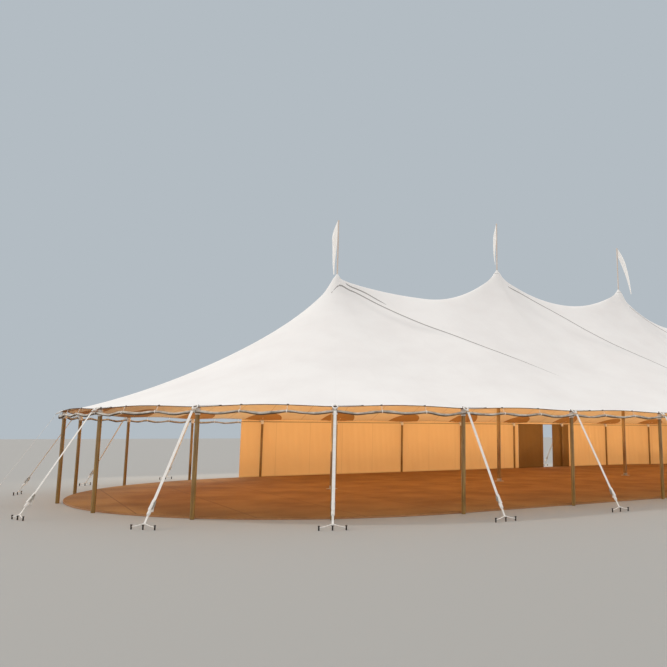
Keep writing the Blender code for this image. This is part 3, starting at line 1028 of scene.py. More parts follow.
    def outline(self, distance: float, radius: float) -> Pair:
        """Finds a point on the plan's outline.

        Args:
            distance: How far round it lies from the middle of the back, to the right if positive.
            radius: How far it lies from the ridge line.

        Returns:
            Its X and Y.
        """
        side = -1 if distance < 0 else 1
        run = abs(distance)
        if run <= self.half_ridge:
            return side * run, radius
        turn = (run - self.half_ridge) / self.half_span
        if turn <= math.pi:
            return side * (self.half_ridge + radius * math.sin(turn)), radius * math.cos(turn)
        return side * (self.half_ridge - (run - self.half_ridge - math.pi * self.half_span)), -radius


FORM = TentForm()


# Roof


@dataclass
class RoofSection:
    """One sewn section of the roof: its cloth, its bearing patches and the rope in its hem."""

    name: str
    node: str
    points: np.ndarray
    uv: np.ndarray
    edges: list[list[Point]]
    poles: list[str]
    flat: Pair
    area: float

    def build(self) -> None:
        """Builds the section and all that is sewn to it."""
        # The inner faces take the inside finish, whose warm colour is painted light
        finishes = [Finish.SAILCLOTH, Finish.LINING]
        cloth = cloth_grid(self.name, self.points, self.uv, finishes, Vector((0, 0, 1)))
        thicken(cloth, FORM.cloth)
        put_on(cloth, [self.node])
        sewn = [self.patches()] + [self.rope(i, edge) for i, edge in enumerate(self.edges, start=1)]
        log.info("%s: %d faces", self.name, len(cloth.data.polygons))

    def patches(self) -> Object:
        """Sews a half-round patch under the cloth at each side pole.

        Returns:
            The patches, as one object.
        """
        half_width, depth, past_pole, below, thickness = 0.765, 0.95, 0.05, 0.003, 0.0015
        rings, steps = 9, 24
        places = FORM.pole_places()
        made = []
        for pole in self.poles:
            if pole not in places:
                continue
            x, y, heading = places[pole]
            out = Vector((math.cos(heading), math.sin(heading), 0.0))
            along = Vector((-out.y, out.x, 0.0))
            points = np.zeros((rings, steps + 1, 3))
            uv = np.zeros((rings, steps + 1, 2))
            for i in range(rings):
                for j in range(steps + 1):
                    angle = math.pi * j / steps
                    reach = i / (rings - 1)
                    side = half_width * reach * math.cos(angle)
                    inward = depth * reach * math.sin(angle) - past_pole
                    p = Vector((x, y, 0.0)) + along * side - out * inward
                    points[i, j] = (p.x, p.y, FORM.cloth_height(p.x, p.y) - below)
                    uv[i, j] = (0.5, 0.1 + 0.02 * reach)
            patch = cloth_grid("patch", points, uv, [Finish.PATCH], Vector((0, 0, 1)))
            made.append(thicken(patch, thickness, -1.0))
        return put_on(join(self.name + "_patches", made))

    def rope(self, number: int, edge: list[Point]) -> Object:
        """Sews the rope into one edge of the section.

        Args:
            number: The edge's number, for the name.
            edge: The points along it.

        Returns:
            The rope.
        """
        return put_on(tube(f"{self.name}_hem_rope_{number}", edge, 0.009, 6, Finish.HEM_ROPE))


@dataclass
class Roof:
    """The whole roof: two half-round ends and three bays between the centre poles."""

    slope_steps: int = 30
    bay_steps: int = 48
    head_columns: Pair = (0.045, 0.085)
    column_gap: float = 0.05
    notched_columns: int = 4
    least_step: float = 0.004
    end_steps: int = 112
    fold_width: float = 0.06
    fold_height: float = 0.012
    fold_steps: int = 90
    fold_flat: float = 1.5
    outer_line: tuple[Pair, ...] = (
        (-0.35, 0.34), (-0.11, 0.28), (0.13, 0.27), (0.6, 0.34), (1.28, 0.9), (1.77, 1.51), (2.2, 2.15),
        (2.66, 2.71), (3.11, 3.25), (3.49, 3.58), (3.82, 3.8), (4.57, 4.31), (5.32, 5.05))
    inner_line: tuple[Pair, ...] = (
        (0.24, 0.24), (1.03, 0.26), (1.8, 0.68), (2.27, 1.31), (2.57, 2.1), (3.2, 3.35), (4.4, 4.19),
        (5.2, 4.9))
    short_line: tuple[Pair, ...] = ((0.24, 0.12), (0.8, 0.24), (1.14, 0.5), (1.45, 0.84))
    panels_per_bay: int = 2
    cloth_run: float = 17.6
    end_area: float = 104.0
    rope_rise: Point = (0.0, 0.0, 0.002)

    def build(self) -> None:
        """Builds every section and the folds between the peaks and the eave."""
        for i, left in enumerate(FORM.centre_x[:-1], start=1):
            self.bay(i, left)
        for side, name in ((-1, "left"), (1, "right")):
            self.end(side, name)
        self.folds()

    def bay(self, number: int, left: float) -> None:
        """Builds the section between two centre poles.

        Args:
            number: Its number from the left.
            left: The place of the pole on its left.
        """
        right = left + FORM.peak_spacing
        poles = [2 * number - 1, 2 * number, 2 * number + 1]
        columns, maps = [], []
        near = [0.0, *self.head_columns, *FORM.cone_rings]
        even = [FORM.peak_spacing * i / self.bay_steps for i in range(self.bay_steps + 1)]
        clear = near[-1] + self.column_gap
        offsets = near + [d for d in even if clear < d < FORM.peak_spacing - clear]
        offsets += [FORM.peak_spacing - d for d in reversed(near)]
        for order, offset in enumerate(offsets):
            station = left + offset
            from_seam = min(order, len(offsets) - 1 - order)
            share = (station - left) / FORM.side_spacing % 1
            half = FORM.slope_stations(FORM.eave_edge(share), self.slope_steps)
            notch = [-FORM.peak_hole / 2, 0.0, FORM.peak_hole / 2]
            column, mapped = [], []
            for y in [-d for d in reversed(half)] + notch + half:
                x = station
                if from_seam < self.notched_columns:
                    inset = FORM.seam_gap / 2 + math.sqrt(max(FORM.peak_hole**2 - y**2, 0.0))
                    inset += self.least_step * from_seam
                    x = min(max(station, left + inset), right - inset)
                column.append((x, y, FORM.cloth_height(x, y)))
                mapped.append(((station - left) / FORM.side_spacing * self.panels_per_bay, 0.0))
            self.measure(column, mapped)
            columns.append(column)
            maps.append(mapped)
        points, uv = np.array(columns), np.array(maps)
        edges = [[tuple(p) for p in points[:, row] + self.rope_rise] for row in (0, -1)]
        own = poles if number == FORM.centre_poles - 1 else poles[:2]
        names = [f"side_pole_{side}_{i}" for side in ("front", "back") for i in own]
        flat = (FORM.peak_spacing, self.cloth_run)
        name = f"roof_cloth_bay_{number}"
        RoofSection(name, f"roof_bay_{number}", points, uv, edges, names, flat, flat[0] * flat[1]).build()

    def end(self, side: int, name: str) -> None:
        """Builds a half-round end.

        Args:
            side: -1 for the left end and 1 for the right.
            name: left or right.
        """
        rows, maps = [], []
        per_bay = self.end_steps // FORM.end_bays
        for j in range(self.end_steps + 1):
            angle = math.pi * (j / self.end_steps - 0.5)
            edge = FORM.eave_edge(j / per_bay % 1)
            row = []
            for radius in FORM.slope_stations(edge, self.slope_steps):
                x, y = side * (FORM.half_ridge + radius * math.cos(angle)), radius * math.sin(angle)
                row.append((x + side * FORM.seam_gap / 2, y, FORM.cloth_height(x, y)))
            mapped = [(j / per_bay * self.panels_per_bay, 0.0)] * len(row)
            self.measure(row, mapped, one_way=True)
            rows.append(row)
            maps.append(mapped)
        points, uv = np.array(rows), np.array(maps)
        edge = [tuple(p) for p in points[:, -1] + self.rope_rise]
        names = [f"side_pole_{name}_{i}" for i in range(1, FORM.end_bays)]
        flat = (self.cloth_run, self.cloth_run / 2)
        node = f"roof_{name}_end"
        RoofSection(f"roof_cloth_{name}_end", node, points, uv, [edge], names, flat, self.end_area).build()

    @staticmethod
    def measure(line: list[Point], mapped: list[Pair], one_way: bool = False) -> None:
        """Fills in V as metres from the nearer eave, along a line of points.

        Args:
            line: Points from one eave to the other, or from the head to the eave.
            mapped: Their maps, which are changed.
            one_way: Whether the line has only one eave, at its end.
        """
        steps = [math.dist(a, b) for a, b in zip(line, line[1:])]
        up = np.concatenate([[0.0], np.cumsum(steps)])
        down = up[-1] - up
        far = down if one_way else np.minimum(up, down)
        mapped[:] = [(u, float(v)) for (u, _), v in zip(mapped, far)]

    def folds(self) -> None:
        """Raises the narrow folds that run from the peaks towards the eave where the cloth is drawn tight."""
        for i, peak in enumerate(FORM.centre_x[:-1], start=1):
            lines = {"long": self.outer_line if i == 1 else self.inner_line, "short": self.short_line}
            for side in (-1, 1):
                for kind, line in lines.items():
                    if kind == "long" or i == 1:
                        name = f"{i}_{'front' if side < 0 else 'back'}_{kind}"
                        self.fold(name, [(peak + along, side * across) for along, across in line])

    @staticmethod
    def smoothed(line: list[Pair], steps: int) -> np.ndarray:
        """Rounds a line off and spaces it evenly.

        Args:
            line: Points of the plan.
            steps: How many steps it gets.

        Returns:
            The points, one more than the steps.
        """
        points = np.array(line)
        for _ in range(3):
            back, ahead = points[:-1], points[1:]
            cut = np.stack([back * 0.75 + ahead * 0.25, back * 0.25 + ahead * 0.75], axis=1)
            points = np.concatenate([points[:1], cut.reshape(-1, 2), points[-1:]])
        run = np.concatenate([[0.0], np.cumsum(np.linalg.norm(np.diff(points, axis=0), axis=1))])
        even = np.linspace(0.0, run[-1], steps + 1)
        return np.stack([np.interp(even, run, points[:, k]) for k in (0, 1)], axis=1)

    def fold(self, name: str, line: list[Pair]) -> None:
        """Raises one fold along a line of the plan.

        Args:
            name: The last part of its name.
            line: The points that it passes over.
        """
        section = [(-0.5, -0.15), (-0.28, 0.62), (0.0, 1.0), (0.3, 0.55), (0.5, -0.15)]
        path = self.smoothed(line, self.fold_steps)
        points = np.zeros((self.fold_steps + 1, len(section), 3))
        for i, (x0, y0) in enumerate(path):
            ahead = path[min(i + 1, self.fold_steps)] - path[max(i - 1, 0)]
            across = np.array([-ahead[1], ahead[0]]) / np.linalg.norm(ahead)
            ease = math.sin(math.pi * min(i / self.fold_steps * 10, (1 - i / self.fold_steps) * 1.6, 0.5))
            for j, (offset, height) in enumerate(section):
                x, y = np.array([x0, y0]) + across * offset * self.fold_width * (0.3 + 0.7 * ease)
                lift = self.fold_height * height * (ease if height > 0 else 1.0)
                points[i, j] = (x, y, FORM.cloth_height(x, y) + FORM.cloth + lift)
        uv = np.full(points.shape[:2] + (2,), 0.5)
        # The fold's grey finish is painted shade
        fold = cloth_grid(f"roof_fold_{name}", points, uv, [Finish.FOLD], Vector((0, 0, 1)))
        thicken(fold, 0.002, -1.0)
        put_on(fold)
        length = float(np.linalg.norm(np.diff(points[:, 2], axis=0), axis=1).sum())


# Side poles and their guys


@dataclass
class SidePoles:
    """The ring of timber side poles with webbing guys, ratchets and stakes.

    One pattern of each kind is modelled, and every pole gets a copy of it.
    """

    pole_radius: float = 0.0475
    pole_top: float = 2.3297
    cap_top: float = 2.372
    collar_height: float = 0.15
    tab_height: float = 2.295
    ring_reach: float = 0.19
    ring_height: float = 2.265
    foot_reach: float = 1.55
    foot_height: float = 0.045
    strap_width: float = 0.062
    strap_thickness: float = 0.005
    low_strap_width: float = 0.042
    bulge_length: float = 0.11
    sleeve_length: float = 0.3
    sleeve_clearance: float = 0.06
    ratchet_length: float = 0.17
    stake_spacing: float = 0.25
    stake_top: float = 0.076
    collar_drop: float = 0.02
    collar_gap: float = 0.008
    collar_belly: float = 1.12
    loop_radius: float = 0.015
    lump_radius: float = 0.026
    lap: float = 0.012
    cheek_reach: float = 0.033
    lever_share: float = 0.62
    lever_lift: float = 0.03
    toggle_place: Point = (0.07, 0.57, 2.353)
    toggle_half: float = 0.025

    def build(self) -> None:
        """Builds the pattern pieces, copies them to every pole and removes the patterns."""
        patterns = {"timber": self.timber(), "webbing": self.webbing(), "ironwork": self.ironwork(),
                    "nylon": self.nylon()}
        for node, (x, y, heading) in FORM.pole_places().items():
            place = Matrix.Translation((x, y, 0.0)) @ Matrix.Rotation(heading, 4, "Z")
            for kind, pattern in patterns.items():
                copy = copy_to(pattern, f"{node}_{kind}", place)
                put_on(copy, [node] if kind == "timber" else [])
        for pattern in patterns.values():
            bpy.data.objects.remove(pattern, do_unlink=True)
        log.info("side poles: %d", len(FORM.pole_places()))

    def along(self, share: float) -> Vector:
        """Point on the guy at a share of the way from its ring to its foot."""
        return self.ring.lerp(Vector((self.foot_reach, 0.0, self.foot_height)), share)

    @property
    def ring(self) -> Vector:
        """Middle of the ring at the guy's top."""
        return Vector((self.ring_reach, 0.0, self.ring_height))

    @property
    def shares(self) -> Point:
        """Shares of the guy, back from its foot, at the sleeve's end, the ratchet's foot and its top."""
        sleeve = self.sleeve_clearance / self.run
        ratchet = sleeve + self.sleeve_length / self.run
        return sleeve, ratchet, ratchet + self.ratchet_length / self.run

    @property
    def run(self) -> float:
        """Length of the guy from its ring to its foot."""
        return math.hypot(self.foot_reach - self.ring_reach, self.ring_height - self.foot_height)

    def timber(self) -> Object:
        """Turns the pole, with eased ends.

        Returns:
            The pole.
        """
        pole = Shape.rod("pole", Finish.TIMBER, (0, 0, 0), (0, 0, self.pole_top), self.pole_radius, 20)
        pole.pick("EDGE", lambda p: p.z < 0.001 or p.z > self.pole_top - 0.001).bevel(0.004)
        return pole.done(40)

    def strap(self, name: str, start: Vector, end: Vector, width: float, cuts: int = 6) -> Object:
        """Lays a flat strap between two points, with worn edges.

        Args:
            name: Its name.
            start: One end.
            end: The other end.
            width: Its width.
            cuts: How often it is cut across.

        Returns:
            The strap.
        """
        strap = Shape.bar(name, Finish.WEBBING, start, end, width, self.strap_thickness)
        strap.slice_along(start, end, cuts)
        strap.pick("EDGE", lambda p: abs(abs(p.y) - width / 2) < 0.0005).bevel(0.0012, 1)
        return strap.done()

    def webbing(self) -> Object:
        """Sews all the webbing of one pole."""
        return join("webbing", [*self.head_straps(), *self.guy_straps(), *self.foot_straps()])

    def head_straps(self) -> list[Object]:
        """Wraps the pole's head and ties it to the ring and over the eave.

        Returns:
            The wrap, the tab and the two loops.
        """
        high = self.pole_top - self.collar_drop
        low = high - self.collar_height
        radius = self.pole_radius + self.collar_gap
        wrap = Shape.rod("wrap", Finish.WEBBING, (0, 0, low), (0, 0, high), radius, 20)
        wrap.slice_along((0, 0, low), (0, 0, high), 3)
        belly = (self.collar_belly, self.collar_belly, 1.0)
        wrap.pick("VERT", lambda p: abs(p.z - (low + high) / 2) < 0.01).resize(belly)
        tab = Vector((self.pole_radius, 0.0, self.tab_height))
        parts = [wrap.done(60), self.strap("tab", tab, self.ring, self.strap_width)]
        for side in (-1, 1):
            cap = Vector((0.012, side * 0.012, self.cap_top - 0.016))
            over = Vector((0.092, -side * 0.055, 2.336))
            route = [cap, cap.lerp(over, 0.5) + Vector((0, 0, 0.006)), over, (0.125, -side * 0.05, 2.31),
                     (self.ring_reach, side * 0.02, self.ring_height + 0.01)]
            parts.append(tube("loop", route, self.loop_radius, 8, Finish.WEBBING))
        return parts

    def guy_straps(self) -> list[Object]:
        """Leads the guy down to its ratchet and over it.

        Returns:
            The guy, the strap over the ratchet and the two lumps where webbing is gathered.
        """
        _, ratchet, top = self.shares
        fall, reach = self.ring_height - self.foot_height, self.foot_reach - self.ring_reach
        out = Vector((fall, 0.0, reach)).normalized()
        start, end = self.along(self.lap), self.along(1 - top + self.lap)
        parts = [self.strap("guy", start, end, self.strap_width, 10)]
        start, end = self.along(1 - top - 0.01) + out * 0.012, self.along(1 - ratchet + 0.01) + out * 0.034
        parts.append(self.strap("ratchet wrap", start, end, self.strap_width * 0.96, 5))
        lumps = ((1 - ratchet + 0.005, self.bulge_length), (1 - top + self.lap, self.ratchet_length * 0.8))
        for share, length in lumps:
            near, far = self.along(share), self.along(share + length / self.run)
            lump = Shape.rod("lump", Finish.WEBBING, near, far, self.lump_radius, 14)
            lump.slice_along(near, far, 4)
            middle, way = (near + far) / 2, (far - near).normalized()
            lump.pick("VERT", lambda p: (p - middle).dot(way) ** 2 < (length * 0.32) ** 2)
            parts.append(lump.resize((1.3, 1.3, 1.1)).done(60))
        return parts

    def foot_straps(self) -> list[Object]:
        """Leads the doubled strap from the sleeve to the stakes, with its loose tail.

        Returns:
            The doubled strap, the tail and the stakes' straps.
        """
        clear, ratchet, top = self.shares
        far = self.along(1 - ratchet + self.bulge_length / self.run)
        foot = self.along(1 - clear * 0.9)
        parts = []
        for side in (-1, 1):
            offset = Vector((0.0, side * 0.005, side * 0.004))
            parts.append(self.strap("doubled strap", far + offset, foot - offset, self.low_strap_width))
        tail = self.along(1 - top)
        start, end = tail + Vector((0.02, 0.0, 0.0)), tail + Vector((0.05, 0.03, -0.2))
        parts.append(self.strap("loose tail", start, end, 0.04, 4))
        for i in (-1, 0, 1):
            head = Vector((self.foot_reach - 0.004 * abs(i), i * (self.stake_spacing - 0.01), 0.05))
            route = [foot + Vector((0, 0, 0.02)), foot.lerp(head, 0.55), head]
            parts.append(tube("stake strap", route, 0.009, 8, Finish.WEBBING))
        return parts

    def ironwork(self) -> Object:
        """Forges the ring, the ratchet and the stakes.

        Returns:
            All the steel of one pole.
        """
        slope = math.atan2(self.ring_height - self.foot_height, self.foot_reach - self.ring_reach)
        ring = Shape.ring("ring", Finish.GALVANISED, self.ring, 0.032, 0.005, (0.0, slope, 0.0))
        return join("ironwork", [ring.done(60), *self.ratchet(slope), *self.stakes()])

    def ratchet(self, slope: float) -> list[Object]:
        """Forges the ratchet: cheeks, lever arms, a spool between two wheels, and a grip.

        Args:
            slope: The guy's angle below the level, in radians.

        Returns:
            Its pieces.
        """
        _, foot_side, ring_side = self.shares
        near, far = self.along(1 - ring_side), self.along(1 - foot_side)
        out = Vector((math.sin(slope), 0.0, math.cos(slope)))
        grip, spool = near.lerp(far, self.lever_share) - out * self.lever_lift, near.lerp(far, 0.3)
        parts = []
        for side in (-1, 1):
            cheek = Vector((0.0, side * self.cheek_reach, 0.0))
            arm = cheek * 1.15
            plates = (("cheek", near + cheek, far + cheek, 0.034),
                      ("lever", near + arm - out * 0.008, grip + arm, 0.022))
            for name, start, end, height in plates:
                plate = Shape.bar(name, Finish.GALVANISED, start, end, 0.004, height)
                plate.pick("EDGE", lambda p: True).bevel(0.0015, 1)
                parts.append(plate.done())
        rods = (("spool", spool, -0.042, 0.042, 0.017, 14, 35),
                ("wheel", spool, -0.028, -0.031, 0.027, 12, 20),
                ("wheel", spool, 0.028, 0.031, 0.027, 12, 20),
                ("grip", grip, -0.04, 0.04, 0.009, 10, 35))
        for name, middle, start, end, radius, sides, degrees in rods:
            ends = (middle.x, start, middle.z), (middle.x, end, middle.z)
            parts.append(Shape.rod(name, Finish.GALVANISED, *ends, radius, sides).done(degrees))
        return parts

    def stakes(self) -> list[Object]:
        """Forges the heads of the three stakes, which stand above the ground."""
        parts = []
        for i in (-1, 0, 1):
            x, y = self.foot_reach, i * self.stake_spacing
            stake = Shape.rod("stake", Finish.STAKE_STEEL, (x, y, 0.0), (x, y, self.stake_top), 0.0145, 12)
            stake.pick("FACE", lambda p: p.z > self.stake_top - 0.001).extrude((0, 0, 0.001), (1.5, 1.5, 1.0))
            stake.extrude((0, 0, 0.009)).inset(0.004, 0.003)
            parts.append(stake.done())
        return parts

    def nylon(self) -> Object:
        """Moulds the cap on the pole's pin and the toggle that is tied beside it.

        Returns:
            The nylon pieces of one pole.
        """
        low, high = self.pole_top + 0.006, self.cap_top - 0.012
        cap = Shape.rod("cap", Finish.BLACK_NYLON, (0, 0, low), (0, 0, high), 0.022, 14)
        cap.pick("FACE", lambda p: p.z > high - 0.001).extrude((0, 0, 0.012), (0.7, 0.7, 1.0))
        x, y, z = self.toggle_place
        ends = (x, y - self.toggle_half, z), (x, y + self.toggle_half, z)
        toggle = Shape.rod("toggle", Finish.BLACK_NYLON, *ends, 0.008, 8)
        toggle.pick("FACE", lambda p: abs(p.y - y) > self.toggle_half - 0.005).inset(0.002, 0.004)
        route = [(0.004, 0.01, 2.352), (0.035, 0.2, 2.352), (0.06, 0.4, 2.354), (x, y, z + 0.003)]
        cord = tube("elastic", route, 0.0035, 6, Finish.BLACK_NYLON)
        return join("nylon", [cap.done(), toggle.done(), cord])


# Centre poles, masts and pennants


@dataclass(frozen=True)
class Lie:
    """How a pennant hangs.

    Its heading is in degrees. Its slopes below the level, at the mast and at the tip, are in radians. The
    spread is the share of its width that stays open, and the fly is its length.
    """

    heading: float
    first_slope: float
    last_slope: float
    spread: float
    fly: float


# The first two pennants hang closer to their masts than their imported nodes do
LIES = (Lie(188, 1.46, 1.56, 0.66, 1.5), Lie(205, 1.36, 1.53, 0.66, 1.3),
        Lie(-32, 1.12, 1.36, 0.66, 1.75), Lie(-32, 0.9, 1.4, 0.8, 1.75))


@dataclass
class CentrePole:
    """One centre pole: timber shaft, steel plates, sailcloth boot, flag mast and pennant."""

    number: int
    x: float
    radius: float = 0.07
    foot: float = 0.0453
    seat_gap: float = 0.0003
    head_radius: float = 0.115
    head_thickness: float = 0.05
    base_radius: float = 0.17
    base_thickness: float = 0.012
    socket_height: float = 0.09
    boot_foot: float = 0.122
    boot_neck: float = 0.028
    boot_rise: float = 0.14
    boot_gap: float = 0.0015
    mast_radius: float = 0.025
    mast_height: float = 2.0
    truck_height: float = 0.04
    hoist: float = 0.36
    hoist_drop: float = 0.03
    tip: float = 0.05

    @property
    def node(self) -> str:
        """The pole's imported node."""
        return f"centre_pole_{self.number}"

    @property
    def head(self) -> float:
        """Height of the pole's head, just under the roof."""
        return FORM.peak_height(self.x) - self.seat_gap

    def build(self) -> None:
        """Builds the pole with its mast and pennant."""
        self.pole()
        self.boot()
        self.mast()
        self.pennant(LIES[self.number - 1])
        log.info("%s: head at %.2f m", self.node, self.head)

    def pole(self) -> None:
        """Builds the timber shaft between its steel plates."""
        x, foot, top = self.x, self.foot, self.head - self.head_thickness
        name = f"{self.node}_shaft"
        shaft = Shape.rod(name, Finish.TIMBER, (x, 0, foot + 0.02), (x, 0, top), self.radius, 32)
        shaft.slice_along((x, 0, foot), (x, 0, top), 3)
        put_on(shaft.done(40), [self.node])
        plate_top = foot + self.base_thickness
        name = f"{self.node}_base"
        base = Shape.rod(name, Finish.GALVANISED, (x, 0, foot), (x, 0, plate_top), self.base_radius, 32)
        base.pick("FACE", lambda p: p.z > plate_top - 0.001).inset(self.base_radius / 2)
        base.extrude((0, 0, self.socket_height))
        plate = Shape.rod("head", Finish.GALVANISED, (x, 0, top), (x, 0, self.head), self.head_radius, 40)
        plate.pick("EDGE", lambda p: math.hypot(p.x - x, p.y) > self.head_radius * 0.98).bevel(0.012, 3)
        put_on(join(f"{self.node}_plates", [base.done(), plate.done()]))

    def boot(self) -> None:
        """Builds the sailcloth boot that closes the roof round the mast, gathered in at its neck."""
        rings, steps = 14, 48
        points, uv = np.zeros((rings + 1, steps + 1, 3)), np.zeros((rings + 1, steps + 1, 2))
        for i in range(rings + 1):
            s = i / rings
            radius = self.boot_foot + (self.boot_neck - self.boot_foot) * s
            z = self.head + FORM.cloth + self.boot_gap + self.boot_rise * (0.75 * s + 0.25 * s**3)
            for j in range(steps + 1):
                angle = 2 * math.pi * j / steps
                gathered = radius * (1 + 0.03 * s * math.sin(9 * angle + self.number))
                points[i, j] = (self.x + gathered * math.cos(angle), gathered * math.sin(angle), z)
                uv[i, j] = (0.5, 0.2 + s * 0.2)
        cloth = cloth_grid(f"{self.node}_boot", points, uv, [Finish.SAILCLOTH], Vector((0, 0, 1)))
        make_active(cloth)
        bpy.ops.object.mode_set(mode="EDIT")
        bpy.ops.mesh.select_all(action="SELECT")
        bpy.ops.mesh.remove_doubles(threshold=0.0005)
        bpy.ops.object.mode_set(mode="OBJECT")
        put_on(thicken(cloth, 0.002))

    def mast(self) -> None:
        """Builds the flag mast and its round truck."""
        top = self.head + self.mast_height - self.truck_height
        ends = (self.x, 0, self.head), (self.x, 0, top)
        mast = Shape.rod(f"{self.node}_mast", Finish.MAST, *ends, self.mast_radius, 16)
        mast.pick("FACE", lambda p: p.z > top - 0.001).extrude((0, 0, 0.004), (1.25, 1.25, 1.0))
        mast.extrude((0, 0, 0.018)).extrude((0, 0, 0.016), (0.45, 0.45, 1.0))
        put_on(mast.done(40))

    def pennant(self, lie: Lie) -> None:
        """Hangs a long pennant from the masthead, in soft folds.

        Args:
            lie: How it hangs.
        """
        along, across = 44, 12
        heading = math.radians(lie.heading)
        out = Vector((math.cos(heading), math.sin(heading), 0.0))
        side = Vector((-out.y, out.x, 0.0))
        low = self.head + self.mast_height - self.hoist_drop - self.hoist
        point = np.array([self.mast_radius + 0.001, low])
        points, uv = np.zeros((along + 1, across + 1, 3)), np.zeros((along + 1, across + 1, 2))
        for i in range(along + 1):
            s = i / along
            angle = lie.first_slope + (lie.last_slope - lie.first_slope) * s**0.6
            width = self.hoist + (self.tip - self.hoist) * s
            fallen = min(s * 5, 1)
            up = np.array([math.sin(angle) * fallen, 1 - (1 - math.cos(angle)) * fallen])
            gather = 1 - (1 - lie.spread) * fallen
            for j in range(across + 1):
                t = j / across
                at = point + up * width * t * gather
                sway = 0.04 * s * math.sin(5 * s + self.number)
                sway += 0.14 * width * math.sin(2 * math.pi * t + 3 * s) * fallen
                p = Vector((self.x, 0, 0)) + out * float(at[0]) + side * sway
                points[i, j] = (p.x, p.y, at[1])
                uv[i, j] = (0.5, width * t)
            point = point + np.array([math.cos(angle), -math.sin(angle)]) * lie.fly / along
        cloth = cloth_grid(f"pennant_cloth_{self.number}", points, uv, [Finish.FLAG])
        shade(cloth, 180)
        put_on(cloth, [f"pennant_{self.number}"])
        area = lie.fly * (self.hoist + self.tip) / 2


# Walls


class WallKind(Enum):
    """The kinds of hanging wall, each with its outer finish, its inner finish and its slot."""

    # The plain wall's inner finish is amber painted light
    PLAIN = (Finish.WALL_OUTSIDE, Finish.WALL_INSIDE, "wall_cloth")
    # The door panels take the door finish, whose brown is painted shadow
    DOOR = (Finish.DOOR, Finish.DOOR, "door_cloth")


@dataclass
class HangingWall:
    """A wall cloth that hangs outside the side poles, in soft upright folds."""

    name: str
    node: str
    start: float
    end: float
    kind: WallKind = WallKind.PLAIN
    fold: float = 0.009
    line: float = WALL_LINE
    top: float = 2.27
    fullness: float = 1.03
    fold_pitch: float = 9.2
    fine_pitch: float = 23.0
    step: float = 0.035
    rows: int = 16
    phase: float = 0.0

    def build(self) -> None:
        """Builds the cloth, two sides thick."""
        count = max(int((self.end - self.start) / self.step), 8)
        points, uv = np.zeros((count + 1, self.rows + 1, 3)), np.zeros((count + 1, self.rows + 1, 2))
        for i in range(count + 1):
            d = self.start + (self.end - self.start) * i / count
            for j in range(self.rows + 1):
                z = self.top * j / self.rows
                loose = 0.35 + 0.65 * math.sin(math.pi * min(z / self.top, 1.0)) ** 0.6
                wave = math.sin(d * self.fold_pitch + 1.3 * math.sin(d * 2.1) + self.phase)
                wave += 0.5 * math.sin(d * self.fine_pitch + z * 1.7)
                wave += 0.6 * noise.noise(Vector((d * 1.3, z * 0.8, self.phase)))
                out = self.line + self.fold * loose * wave
                x, y = FORM.outline(d, out)
                points[i, j] = (x, y, z)
                uv[i, j] = ((d - self.start) / WALL_PANEL, z)
        outer, inner, slot = self.kind.value
        middle = FORM.outline((self.start + self.end) / 2, 1.0)
        outward = Vector((0.0, middle[1], 0.0))
        cloth = cloth_grid(self.name, points, uv, [outer, inner], outward)
        thicken(cloth, 0.003, 0.0)
        put_on(cloth, [self.node])
        flat = ((self.end - self.start) * self.fullness, self.top)
        log.info("%s: %d faces", self.name, len(cloth.data.polygons))


@dataclass
class WallHeader:
    """The strip of wall cloth between the eave and the walls, which also heads the doorway, with its rope."""

    start: float
    end: float
    line: float = WALL_LINE
    low: float = 2.264
    notch_height: float = 0.05
    notch_half: float = 0.06
    depth: float = 0.11
    mean_depth: float = 0.09
    rope_inset: float = 0.011
    rope_drop: float = 0.006
    step: float = 0.06
    rows: int = 5

    def build(self) -> None:
        """Builds the strip. It is cut away where a pole's strap passes through."""
        count = int((self.end - self.start) / self.step)
        points, uv = np.zeros((count + 1, self.rows + 1, 3)), np.zeros((count + 1, self.rows + 1, 2))
        for i in range(count + 1):
            d = self.start + (self.end - self.start) * i / count
            share = FORM.bay_share(*FORM.outline(d, FORM.half_span))
            to_pole = min(share, 1 - share) * FORM.share_metres
            notch = min(max(1.5 - to_pole / self.notch_half, 0.0), 1.0)
            inner = min(self.line, FORM.eave_edge(share) - 0.008)
            high = FORM.cloth_height(*FORM.outline(d, inner)) - 0.003
            low = min(self.low + self.notch_height * notch, high - 0.004)
            for j in range(self.rows + 1):
                t = j / self.rows
                x, y = FORM.outline(d, self.line + (inner - self.line) * t)
                points[i, j] = (x, y, low + (high - low) * t)
                uv[i, j] = (d / WALL_PANEL, 1.0 + low + (high - low) * t - self.low)
        # The header's inner side is amber painted light
        finishes = [Finish.WALL_OUTSIDE, Finish.WALL_INSIDE]
        cloth = cloth_grid("wall_header", points, uv, finishes, Vector((0, 1, 0)))
        put_on(thicken(cloth, 0.002, 0.0))
        length = self.end - self.start
        places = [self.start + length * i / count for i in range(count + 1)]
        rope = [(*FORM.outline(d, self.line - self.rope_inset), self.low - self.rope_drop) for d in places]
        rope_piece = put_on(tube("wall_header_rope", rope, 0.008, 6, Finish.HEM_ROPE))
        length * self.mean_depth
        log.info("wall header: %d faces", len(cloth.data.polygons))


